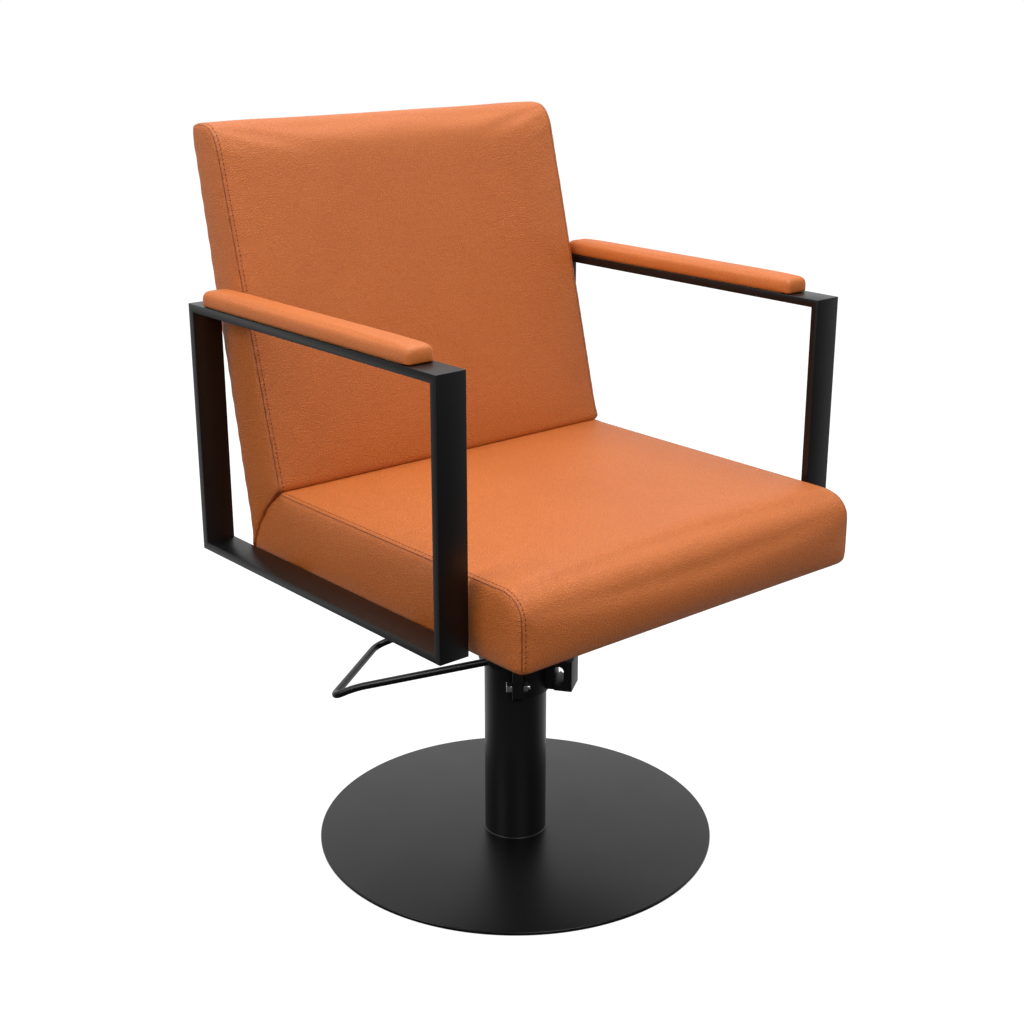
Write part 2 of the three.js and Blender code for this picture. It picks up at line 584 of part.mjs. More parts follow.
// ---------------------------------------------------------------- swivel hub and seat plate
function addSwivel() {
  const hubTop = HUB_BOTTOM + HUB_LENGTH;
  const screwHole = lying(HUB_SCREW_RADIUS + RUNNING, 0, HUB_RADIUS + 5, 0, SCREW_Z, 16);
  const hub = cut(ring(SPIGOT_RADIUS + RUNNING, HUB_RADIUS, HUB_BOTTOM, hubTop), screwHole);
  piece("swivel_hub", hub, CAST_BLACK);
  const tip = SPIGOT_RADIUS - SPIGOT_GROOVE_DEPTH + 2 * TOUCH;
  const screw = boltShape(HUB_SCREW_RADIUS, HUB_RADIUS + TOUCH - tip, 6, 4);
  const placed = piece("swivel_screw", screw, ZINC);
  placed.rotation.y = -Math.PI / 2;
  placed.position.set(HUB_RADIUS + TOUCH, 0, SCREW_Z);

  const half = SEAT_PLATE_SIDE / 2;
  const plate = box([-half, -half, SEAT_PLATE_BOTTOM], [half, half, SEAT_LEVEL]);
  const holes = platePlaces().map(([x, y]) => boltHole(x, y));
  piece("seat_plate", cut(plate, ...holes), POWDER_BLACK);
  platePlaces().forEach(([x, y], i) => addBoardBolt(`seat_plate_bolt_${i + 1}`, x, y, SEAT_PLATE_BOTTOM));
}

/** Where the seat plate's bolts stand. */
function platePlaces() {
  const signs = [[1, 1], [-1, 1], [-1, -1], [1, -1]];
  return signs.map(([a, b]) => [a * SEAT_PLATE_BOLT_SPREAD, b * SEAT_PLATE_BOLT_SPREAD]);
}

/** Where the arm frames' bolts stand. */
function tabPlaces() {
  return [1, -1].flatMap((side) => TAB_Y.flatMap((y) => TAB_BOLT_X.map((x) => [side * x, y])));
}

const boltHole = (x, y) => upright(BOLT_RADIUS + RUNNING, SEAT_PLATE_BOTTOM - 5, boltTip() + TOUCH, x, y, 12);

const boltTip = () => BOARD_BOTTOM + BOLT_BITE;

/** A bolt from below into the seat board, its head under the given face. */
function addBoardBolt(name, x, y, face) {
  piece(name, boltShape(BOLT_RADIUS, boltTip() - face + TOUCH), ZINC).position.set(x, y, face - TOUCH);
}

// ---------------------------------------------------------------- seat
/** Height of the lower rear seam: a bowed line from the rear corner up to the crease. */
function seamCurve(shift) {
  const rear = new THREE.Vector2(BACK_REAR_Y - shift, SEAT_LEVEL + 6);
  const crease = new THREE.Vector2(CREASE_Y - shift, SEAT_TOP);
  const bend = rear.clone().add(crease).multiplyScalar(0.5);
  const bow = crease.clone().sub(rear).normalize().rotateAround(new THREE.Vector2(), -Math.PI / 2);
  bend.addScaledVector(bow, BACK_SEAM_BOW);
  return { rear, bend, crease };
}

function seatOutline() {
  const seam = seamCurve(BACK_SEAM_GAP);
  const front = SEAT_FRONT_Y;
  const outline = new THREE.Shape();
  outline.moveTo(seam.rear.x, SEAT_BOTTOM);
  outline.lineTo(seam.rear.x, seam.rear.y);
  outline.quadraticCurveTo(seam.bend.x, seam.bend.y, seam.crease.x, seam.crease.y);
  outline.lineTo(front + SEAT_FRONT_RADIUS, SEAT_TOP);
  outline.absarc(front + SEAT_FRONT_RADIUS, SEAT_TOP - SEAT_FRONT_RADIUS, SEAT_FRONT_RADIUS, Math.PI / 2, Math.PI);
  outline.lineTo(front, SEAT_BOTTOM + SEAT_EDGE_RADIUS);
  outline.absarc(front + SEAT_EDGE_RADIUS, SEAT_BOTTOM + SEAT_EDGE_RADIUS, SEAT_EDGE_RADIUS, Math.PI, 1.5 * Math.PI);
  return outline;
}

const boardFront = () => SEAT_FRONT_Y + 2 * SEAT_RIM;
const boardRear = () => BACK_REAR_Y - BACK_SEAM_GAP - SEAT_RIM;

function addSeat() {
  const grow = POCKET;
  const holes = [...platePlaces(), ...tabPlaces()].map(([x, y]) => boltHole(x, y));
  const board = box([-BOARD_HALF, boardFront(), BOARD_BOTTOM], [BOARD_HALF, boardRear(), BOARD_TOP]);
  const bracketHoles = bracketSides().map((x) => bracketBoltHole(x));
  piece("seat_board", cut(board, ...holes, ...bracketHoles), PLYWOOD);

  const cover = box(
    [-BOARD_HALF, boardFront(), SEAT_BOTTOM],
    [BOARD_HALF, boardRear(), SEAT_BOTTOM + DUST_COVER_THICKNESS],
  );
  piece("dust_cover", cut(cover, ...holes), BLACK_CLOTH);

  const body = sideways(seatOutline(), -SEAT_HALF, SEAT_HALF);
  const recess = box(
    [-BOARD_HALF - grow, boardFront() - grow, SEAT_BOTTOM - 5],
    [BOARD_HALF + grow, boardRear() + grow, BOARD_TOP + grow],
  );
  const brackets = bracketSides().flatMap((x) => [bracketBody(x, grow), bracketBoltPocket(x)]);
  piece("seat_cushion", cut(body, recess, ...brackets), LEATHER);
}

// ---------------------------------------------------------------- back
const frontLean = Math.tan(radians(BACK_FRONT_RECLINE));
const backFrontY = (z) => CREASE_Y + (z - SEAT_TOP) * frontLean;
const rearTopY = backFrontY(BACK_TOP_Z - BACK_TOP_ROLL) + BACK_TOP_THICKNESS;
const rearLean = (rearTopY - BACK_REAR_Y) / (BACK_TOP_Z - BACK_TOP_ROLL / 2 - SEAT_LEVEL);
const backRearY = (z) => BACK_REAR_Y + (z - SEAT_LEVEL) * rearLean;
const backBoardFront = (z) => backRearY(z) - BACK_BOARD_COVER - BACK_BOARD_THICKNESS;

function backOutline() {
  const seam = seamCurve(0);
  const rollStart = BACK_TOP_Z - BACK_TOP_ROLL;
  const rearCorner = BACK_TOP_Z - BACK_TOP_ROLL / 2;
  const outline = new THREE.Shape();
  outline.moveTo(backRearY(seam.rear.y), seam.rear.y);
  outline.lineTo(backRearY(rearCorner), rearCorner);
  outline.quadraticCurveTo(backRearY(BACK_TOP_Z), BACK_TOP_Z, backRearY(BACK_TOP_Z) - BACK_TOP_ROLL / 2, BACK_TOP_Z);
  outline.lineTo(backFrontY(BACK_TOP_Z) + BACK_TOP_ROLL / 1.5, BACK_TOP_Z);
  outline.quadraticCurveTo(backFrontY(BACK_TOP_Z), BACK_TOP_Z, backFrontY(rollStart), rollStart);
  outline.lineTo(backFrontY(seam.crease.y + BACK_SEAM_GAP), seam.crease.y + BACK_SEAM_GAP);
  outline.lineTo(seam.crease.x, seam.crease.y);
  outline.quadraticCurveTo(seam.bend.x, seam.bend.y, seam.rear.x, seam.rear.y);
  return outline;
}

/** The back board's section, grown by a clearance, between two heights. */
function backBoardBody(grow, bottom, top) {
  const half = BACK_BOARD_WIDTH / 2 + grow;
  const rear = BACK_BOARD_THICKNESS + grow;
  const corners = [
    [backBoardFront(bottom) - grow, bottom],
    [backBoardFront(bottom) + rear, bottom],
    [backBoardFront(top) + rear, top],
    [backBoardFront(top) - grow, top],
  ];
  return sideways(outlineOf(corners), -half, half);
}

function addBack() {
  const boardBottom = BOARD_TOP + BACK_BOARD_LIFT;
  const boardTop = BACK_TOP_Z - 2 * BACK_TOP_ROLL;
  piece("back_board", backBoardBody(0, boardBottom, boardTop), PLYWOOD);
  const body = sideways(backOutline(), -SEAT_HALF, SEAT_HALF);
  const pocket = backBoardBody(POCKET, SEAT_LEVEL - 10, boardTop + POCKET);
  const brackets = bracketSides().map((x) => bracketBody(x, POCKET));
  piece("back_cushion", cut(body, pocket, ...brackets), LEATHER);
}

// ---------------------------------------------------------------- brackets between seat and back
const bracketSides = () => [-BRACKET_X, BRACKET_X];
const bracketRear = (z) => backBoardFront(z) - POCKET;

/** An angle bracket: one leg lies on the seat board, the other leans on the back board's front. */
function bracketBody(x, grow) {
  const low = BOARD_TOP + POCKET;
  const rise = low + BRACKET_THICKNESS;
  const front = bracketRear(low) - BRACKET_LEG;
  const top = BRACKET_TOP_Z + grow;
  const corners = [
    [front - grow, low - grow],
    [bracketRear(low) + grow, low - grow],
    [bracketRear(top) + grow, top],
    [bracketRear(top) - BRACKET_THICKNESS - grow, top],
    [bracketRear(rise) - BRACKET_THICKNESS - grow, rise + grow],
    [front - grow, rise + grow],
  ];
  const half = BRACKET_WIDTH / 2 + grow;
  return sideways(outlineOf(corners), x - half, x + half);
}

const bracketBoltY = () => bracketRear(BOARD_TOP) - BRACKET_LEG / 2;
const bracketFace = () => BOARD_TOP + POCKET + BRACKET_THICKNESS + TOUCH;

function bracketBoltHole(x) {
  return upright(BOLT_RADIUS + RUNNING, BOARD_TOP - BOLT_BITE - TOUCH, bracketFace() + 5, x, bracketBoltY(), 12);
}

function bracketBoltPocket(x) {
  const top = bracketFace() + BOLT_HEAD_HEIGHT + POCKET;
  return upright(BOLT_HEAD_RADIUS + POCKET, BOARD_TOP, top, x, bracketBoltY());
}

function addBrackets() {
  bracketSides().forEach((x) => {
    const side = x < 0 ? "right" : "left";
    piece(`back_bracket_${side}`, cut(bracketBody(x, 0), bracketBoltHole(x)), POWDER_BLACK);
    const bolt = piece(`bracket_bolt_${side}`, boltShape(BOLT_RADIUS, bracketFace() - BOARD_TOP + BOLT_BITE), ZINC);
    bolt.rotation.x = Math.PI; // head up, shank down
    bolt.position.set(x, bracketBoltY(), bracketFace());
  });
}

// ---------------------------------------------------------------- arms
/** The closed rectangle of flat bar, seen from the side. */
function armOutline() {
  const loop = outlineOf([
    [ARM_FRONT_Y, SEAT_LEVEL],
    [ARM_REAR_Y, SEAT_LEVEL],
    [ARM_REAR_Y, ARM_TOP],
    [ARM_FRONT_Y, ARM_TOP],
  ]);
  const t = BAR_THICKNESS;
  const corners = [
    [ARM_FRONT_Y + t, SEAT_LEVEL + t],
    [ARM_FRONT_Y + t, ARM_TOP - t],
    [ARM_REAR_Y - t, ARM_TOP - t],
    [ARM_REAR_Y - t, SEAT_LEVEL + t],
  ];
  loop.holes.push(new THREE.Path(corners.map(([y, z]) => new THREE.Vector2(y, z))));
  return loop;
}

/** A rounded rectangle in plan. */
function roundedPlan(halfWidth, front, rear, radius) {
  const plan = new THREE.Shape();
  plan.absarc(halfWidth - radius, front + radius, radius, -Math.PI / 2, 0);
  plan.absarc(halfWidth - radius, rear - radius, radius, 0, Math.PI / 2);
  plan.absarc(radius - halfWidth, rear - radius, radius, Math.PI / 2, Math.PI);
  plan.absarc(radius - halfWidth, front + radius, radius, Math.PI, 1.5 * Math.PI);
  return plan;
}

/** The pad: a rounded plan, crowned across, hollowed below for its board. Centred on x = 0. */
function padBody() {
  const bottom = ARM_TOP + TOUCH;
  const half = BAR_WIDTH / 2;
  const depth = { depth: PAD_HEIGHT, bevelEnabled: false, curveSegments: 6 };
  const plan = roundedPlan(half, PAD_FRONT_Y, PAD_REAR_Y, PAD_END_RADIUS);
  const upper = new THREE.ExtrudeGeometry(plan, depth).translate(0, 0, bottom);
  const r = PAD_CROWN_RADIUS;
  const section = new THREE.Shape();
  section.moveTo(-half, -1);
  section.lineTo(half, -1);
  section.absarc(half - r, PAD_HEIGHT - r, r, 0, Math.PI / 2);
  section.absarc(r - half, PAD_HEIGHT - r, r, Math.PI / 2, Math.PI);
  const length = PAD_REAR_Y - PAD_FRONT_Y + 2;
  const crown = new THREE.ExtrudeGeometry(section, { depth: length, bevelEnabled: false, curveSegments: 6 })
    .rotateX(Math.PI / 2)
    .translate(0, PAD_REAR_Y + 1, bottom);
  const recess = box(
    [-half + PAD_BOARD_INSET - POCKET, padBoardEnds()[0] - POCKET, bottom - 1],
    [half - PAD_BOARD_INSET + POCKET, padBoardEnds()[1] + POCKET, bottom + PAD_BOARD_THICKNESS + POCKET],
  );
  return cut(common(upper, crown), recess);
}

const padBoardEnds = () => [PAD_FRONT_Y + PAD_END_RADIUS, PAD_REAR_Y - PAD_END_RADIUS];

function addArm(side, sign) {
  const inner = sign * ARM_INNER_X;
  const outer = sign * (ARM_INNER_X + BAR_WIDTH);
  const loop = sideways(armOutline(), Math.min(inner, outer), Math.max(inner, outer));
  const tabBottom = SEAT_LEVEL - TAB_THICKNESS;
  const across = (a, b) => [Math.min(sign * a, sign * b), Math.max(sign * a, sign * b)];
  const tabs = TAB_Y.flatMap((y) => {
    const [low, high] = across(TAB_INNER_X, ARM_MID_X);
    const [weldLow, weldHigh] = across(ARM_INNER_X + 2, ARM_MID_X);
    return [
      box([low, y - TAB_WIDTH / 2, tabBottom], [high, y + TAB_WIDTH / 2, SEAT_LEVEL]),
      box([weldLow, y - TAB_WIDTH / 2, tabBottom], [weldHigh, y + TAB_WIDTH / 2, SEAT_LEVEL + 2]),
    ];
  });
  const tabHoles = TAB_Y.flatMap((y) => TAB_BOLT_X.map((x) => boltHole(sign * x, y)));
  const screwYs = [padBoardEnds()[0] + PAD_SCREW_INSET, padBoardEnds()[1] - PAD_SCREW_INSET];
  const barBottom = ARM_TOP - BAR_THICKNESS;
  const screwTip = ARM_TOP + TOUCH + PAD_BOARD_THICKNESS - 1;
  const screwHoles = screwYs.map((y) =>
    upright(PAD_SCREW_RADIUS + RUNNING, barBottom - 5, screwTip + TOUCH, sign * ARM_MID_X, y, 12),
  );
  piece(`arm_frame_${side}`, cut(join(loop, ...tabs), ...tabHoles, ...screwHoles), POWDER_BLACK);

  const boardHalf = BAR_WIDTH / 2 - PAD_BOARD_INSET;
  const boardBottom = ARM_TOP + TOUCH;
  const board = box(
    [sign * ARM_MID_X - boardHalf, padBoardEnds()[0], boardBottom],
    [sign * ARM_MID_X + boardHalf, padBoardEnds()[1], boardBottom + PAD_BOARD_THICKNESS],
  );
  piece(`arm_pad_board_${side}`, cut(board, ...screwHoles), PLYWOOD);
  piece(`arm_pad_${side}`, padBody(), LEATHER).position.x = sign * ARM_MID_X;

  screwYs.forEach((y, i) => {
    const screw = boltShape(PAD_SCREW_RADIUS, screwTip - barBottom + TOUCH, 4.5, 3);
    piece(`arm_pad_screw_${side}_${i + 1}`, screw, ZINC).position.set(sign * ARM_MID_X, y, barBottom - TOUCH);
  });
}

function addArms() {
  addArm("right", -1);
  addArm("left", 1);
  tabPlaces().forEach(([x, y], i) => addBoardBolt(`arm_bolt_${i + 1}`, x, y, SEAT_LEVEL - TAB_THICKNESS));
}

addBase();
addColumn();
addPiston();
addPumpHead();
addClampBolt();
addPlunger();
addPedal();
addSwivel();
addSeat();
addBack();
addBrackets();
addArms();

export default chair;
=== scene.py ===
"""Salon styling chair: the visible model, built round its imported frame.

Metres, +Z up, floor at z = 0. The sitter faces -Y and the sitter's right side is at -X.
"""

import json
import logging
import math
from contextlib import contextmanager
from dataclasses import dataclass, field, replace
from enum import Enum
from typing import Any, Callable, Iterator, Mapping, Sequence

import bpy
import numpy as np
from mathutils import Matrix, Vector, kdtree, noise


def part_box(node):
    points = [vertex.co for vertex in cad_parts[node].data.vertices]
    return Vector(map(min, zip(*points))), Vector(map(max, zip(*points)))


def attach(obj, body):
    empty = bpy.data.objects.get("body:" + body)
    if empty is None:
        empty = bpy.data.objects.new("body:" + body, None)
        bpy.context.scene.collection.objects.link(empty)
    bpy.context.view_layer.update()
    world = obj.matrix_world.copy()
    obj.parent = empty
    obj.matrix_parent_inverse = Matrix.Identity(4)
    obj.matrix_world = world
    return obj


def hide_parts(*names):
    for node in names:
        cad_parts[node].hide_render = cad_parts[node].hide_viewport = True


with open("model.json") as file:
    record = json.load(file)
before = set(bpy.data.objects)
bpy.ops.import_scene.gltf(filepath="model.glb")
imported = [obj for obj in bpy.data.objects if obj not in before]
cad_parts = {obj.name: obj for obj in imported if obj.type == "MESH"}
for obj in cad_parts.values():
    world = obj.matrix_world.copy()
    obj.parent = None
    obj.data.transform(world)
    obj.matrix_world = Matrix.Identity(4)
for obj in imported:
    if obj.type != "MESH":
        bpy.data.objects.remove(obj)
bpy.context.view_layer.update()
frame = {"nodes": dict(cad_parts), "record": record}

LOG = logging.getLogger("styling_chair")
MM = 0.001

SHARP = math.radians(30)

Triple = tuple[float, float, float]
Point2 = tuple[float, float]


class Side(Enum):
    """The sitter's side, as the sign of X."""

    RIGHT = -1
    LEFT = 1

    @property
    def word(self) -> str:
        """The side as it stands in piece names."""
        return self.name.lower()


class Pick(Enum):
    """What an edit-mode operator works on."""

    VERTS = "VERT"
    EDGES = "EDGE"
    FACES = "FACE"


class Slot(Enum):
    """The record's material slots."""

    UPHOLSTERY = "upholstery"
    POWDER_COAT = "black_powder_coat"
    CASTING = "black_casting"
    BRIGHT_STEEL = "bright_steel"
    ZINC = "zinc"
    RUBBER = "rubber"
    PLYWOOD = "plywood"
    BRONZE = "bronze"
    DUST_COVER = "dust_cover"


# ---------------------------------------------------------------- bench: selecting, editing, applying
def select_only(*objects: bpy.types.Object) -> None:
    """Leave edit mode and select just these objects.

    Args:
        *objects: The objects to select; the first one becomes active.
    """
    active = bpy.context.object
    if active is not None and active.mode != "OBJECT":
        bpy.ops.object.mode_set(mode="OBJECT")
    bpy.ops.object.select_all(action="DESELECT")
    for obj in objects:
        obj.select_set(True)
    if objects:
        bpy.context.view_layer.objects.active = objects[0]


@contextmanager
def edit(obj: bpy.types.Object, pick: Pick = Pick.VERTS) -> Iterator[None]:
    """Work on one object in edit mode.

    Args:
        obj: The mesh object.
        pick: The select mode to work in.
    """
    select_only(obj)
    modes = tuple(pick is kind for kind in Pick)
    bpy.context.tool_settings.mesh_select_mode = modes
    bpy.ops.object.mode_set(mode="EDIT")
    yield
    bpy.ops.object.mode_set(mode="OBJECT")


def mark(obj: bpy.types.Object, pick: Pick, wanted: Callable[[Any], bool]) -> None:
    """Select the vertices, edges or faces that pass a test, and nothing else.

    Args:
        obj: The mesh object, in object mode.
        pick: Which kind of element to test.
        wanted: The test, given one vertex, edge or polygon.
    """
    mesh = obj.data
    groups = {Pick.VERTS: mesh.vertices, Pick.EDGES: mesh.edges, Pick.FACES: mesh.polygons}
    for group in groups.values():
        group.foreach_set("select", [False] * len(group))
    for element in groups[pick]:
        element.select = bool(wanted(element))


def tidy_normals(obj: bpy.types.Object) -> None:
    """Merge doubles and turn every face outwards.

    Args:
        obj: The closed mesh object.
    """
    with edit(obj):
        bpy.ops.mesh.select_all(action="SELECT")
        bpy.ops.mesh.remove_doubles(threshold=0.005 * MM)
        bpy.ops.mesh.normals_make_consistent(inside=False)


def apply_modifier(obj: bpy.types.Object, kind: str, **settings: Any) -> None:
    """Add a modifier, set it and apply it.

    Args:
        obj: The object.
        kind: Blender's modifier type.
        **settings: Values for the modifier's properties.
    """
    select_only(obj)
    modifier = obj.modifiers.new(kind.title(), kind)
    for key, value in settings.items():
        setattr(modifier, key, value)
    bpy.ops.object.modifier_apply(modifier=modifier.name)


def round_edges(obj: bpy.types.Object, width: float, segments: int = 3) -> None:
    """Bevel every sharp edge, and shade the rest smooth.

    Args:
        obj: The object.
        width: Width of the bevel, in metres.
        segments: Steps across it.
    """
    apply_modifier(obj, "BEVEL", width=width, segments=segments, limit_method="ANGLE", angle_limit=SHARP)
    select_only(obj)
    bpy.ops.object.shade_smooth_by_angle(angle=SHARP)


# ---------------------------------------------------------------- bench: shapes
def traced(name: str, points: Sequence[Vector]) -> bpy.types.Object:
    """Draw one flat face, its corners extruded one after the other.

    Args:
        name: The new object's name.
        points: The corners of the face, in order.

    Returns:
        The new object.
    """
    select_only()
    bpy.ops.mesh.primitive_plane_add(size=MM, location=(0, 0, 0))
    obj = bpy.context.object
    obj.name = name
    with edit(obj):
        bpy.ops.mesh.select_all(action="SELECT")
        bpy.ops.mesh.merge(type="CENTER")
        bpy.ops.transform.translate(value=points[0])
        for before, after in zip(points, points[1:]):
            bpy.ops.mesh.extrude_vertices_move(TRANSFORM_OT_translate={"value": after - before})
        bpy.ops.mesh.select_all(action="SELECT")
        bpy.ops.mesh.edge_face_add()
    return obj


def prism(name: str, outline: Sequence[Point2], low: float, high: float) -> bpy.types.Object:
    """A solid of one outline across the chair.

    Args:
        name: The new object's name.
        outline: (Y, Z) corners, in order.
        low: The lower X face.
        high: The upper X face.

    Returns:
        The new object.
    """
    obj = traced(name, [Vector((low, y, z)) for y, z in outline])
    with edit(obj, Pick.FACES):
        bpy.ops.mesh.select_all(action="SELECT")
        bpy.ops.mesh.extrude_region_move(TRANSFORM_OT_translate={"value": (high - low, 0, 0)})
    tidy_normals(obj)
    return obj


def turned(name: str, rings: Sequence[Point2], sides: int) -> bpy.types.Object:
    """A solid of revolution on the Z axis, drawn up ring by ring from its bottom face.

    Args:
        name: The new object's name.
        rings: (radius, height) of each ring.
        sides: Sides round the axis.

    Returns:
        The new object.
    """
    select_only()
    radius, height = rings[0]
    bpy.ops.mesh.primitive_circle_add(
        vertices=sides, radius=radius, fill_type="NGON", location=(0, 0, height)
    )
    obj = bpy.context.object
    obj.name = name
    bpy.ops.object.transform_apply(location=True, rotation=True, scale=True)
    with edit(obj, Pick.FACES):
        bpy.ops.mesh.select_all(action="SELECT")
        for next_radius, next_height in rings[1:]:
            rise = (0, 0, next_height - height)
            bpy.ops.mesh.extrude_region_move(TRANSFORM_OT_translate={"value": rise})
            factor = next_radius / radius
            bpy.ops.transform.resize(value=(factor, factor, 1), center_override=(0, 0, next_height))
            radius, height = next_radius, next_height
    tidy_normals(obj)
    return obj


def rounded(corners: Sequence[Vector], reach: float, steps: int) -> list[Vector]:
    """A path through corners, each inner corner softened into a curve.

    Args:
        corners: The path's corners.
        reach: How far from a corner its curve starts.
        steps: Points along each curve.

    Returns:
        The softened path.
    """
    path = [corners[0]]
    for before, corner, after in zip(corners, corners[1:], corners[2:]):
        start = corner + (before - corner).normalized() * reach
        end = corner + (after - corner).normalized() * reach
        for step in range(steps + 1):
            t = step / steps
            path.append(start * (1 - t) ** 2 + corner * (2 * t * (1 - t)) + end * t**2)
    path.append(corners[-1])
    return path


def rod(name: str, path: Sequence[Vector], radius: float, smoothness: int) -> bpy.types.Object:
    """A round rod or line along a path.

    Args:
        name: The new object's name.
        path: The centre line.
        radius: The rod's radius.
        smoothness: Blender's bevel resolution of the section.

    Returns:
        The new mesh object.
    """
    curve = bpy.data.curves.new(name, "CURVE")
    curve.dimensions = "3D"
    curve.bevel_depth = radius
    curve.bevel_resolution = smoothness
    curve.use_fill_caps = True
    spline = curve.splines.new("POLY")
    spline.points.add(len(path) - 1)
    for point, place in zip(spline.points, path):
        point.co = (*place, 1.0)
    obj = bpy.data.objects.new(name, curve)
    bpy.context.scene.collection.objects.link(obj)
    select_only(obj)
    bpy.ops.object.convert(target="MESH")
    obj = bpy.context.object
    tidy_normals(obj)
    bpy.ops.object.shade_smooth_by_angle(angle=math.radians(50))
    return obj


def refined(node: str, edge: float, segments: int = 3) -> bpy.types.Object:
    """A merged copy of a CAD node with softened edges, which stands for the node.

    Args:
        node: The CAD node's name.
        edge: Width of the edge bevel, in metres.
        segments: Steps across the bevel.

    Returns:
        The new object.
    """
    obj = bpy.data.objects.new(f"{node}_body", frame["nodes"][node].data.copy())
    bpy.context.scene.collection.objects.link(obj)
    with edit(obj):
        bpy.ops.mesh.select_all(action="SELECT")
        bpy.ops.mesh.remove_doubles(threshold=0.01 * MM)
        bpy.ops.mesh.dissolve_limited(angle_limit=math.radians(0.5))
    round_edges(obj, edge, segments)
    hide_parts(node)
    return obj


def copies(name: str, shape: bpy.types.Object, places: Sequence[Matrix]) -> bpy.types.Object:
    """Many copies of one small shape, joined into one piece.

    Args:
        name: The joined piece's name.
        shape: The shape, which is used up.
        places: Where each copy goes.

    Returns:
        The joined object.
    """
    made = []
    for place in places:
        copy = bpy.data.objects.new(name, shape.data.copy())
        copy.data.transform(place)
        bpy.context.scene.collection.objects.link(copy)
        made.append(copy)
    bpy.data.objects.remove(shape)
    select_only(*made)
    bpy.ops.object.join()
    made[0].name = name
    return made[0]


# ---------------------------------------------------------------- shader writing
class Sock:
    """A node's output that arithmetic can be written on."""

    def __init__(self, tree: "Tree", socket: bpy.types.NodeSocket) -> None:
        """Wrap an output socket of a tree."""
        self.tree = tree
        self.socket = socket

    def math(self, operation: str, *others: Any, first: Any = None) -> "Sock":
        """A Math node on this value.

        Args:
            operation: Blender's Math operation.
            *others: The values that follow this one.
            first: A value that comes before this one, if any.

        Returns:
            The node's result.
        """
        values = [self, *others] if first is None else [first, self, *others]
        inputs = dict(enumerate(values))
        return self.tree.sock("ShaderNodeMath", 0, {"operation": operation}, inputs)

    def __add__(self, other: Any) -> "Sock":
        """self + other"""
        return self.math("ADD", other)

    __radd__ = __add__

    def __mul__(self, other: Any) -> "Sock":
        """self * other"""
        return self.math("MULTIPLY", other)

    __rmul__ = __mul__

    def __sub__(self, other: Any) -> "Sock":
        """self - other"""
        return self.math("SUBTRACT", other)

    def __rsub__(self, other: Any) -> "Sock":
        """other - self"""
        return self.math("SUBTRACT", first=other)

    def ramp(self, low: float, high: float) -> "Sock":
        """A smooth step of this value.

        Args:
            low: The value that gives 0.
            high: The value that gives 1.

        Returns:
            The step, from 0 to 1.
        """
        settings = {"interpolation_type": "SMOOTHSTEP"}
        inputs = {"Value": self, "From Min": low, "From Max": high}
        return self.tree.sock("ShaderNodeMapRange", 0, settings, inputs)


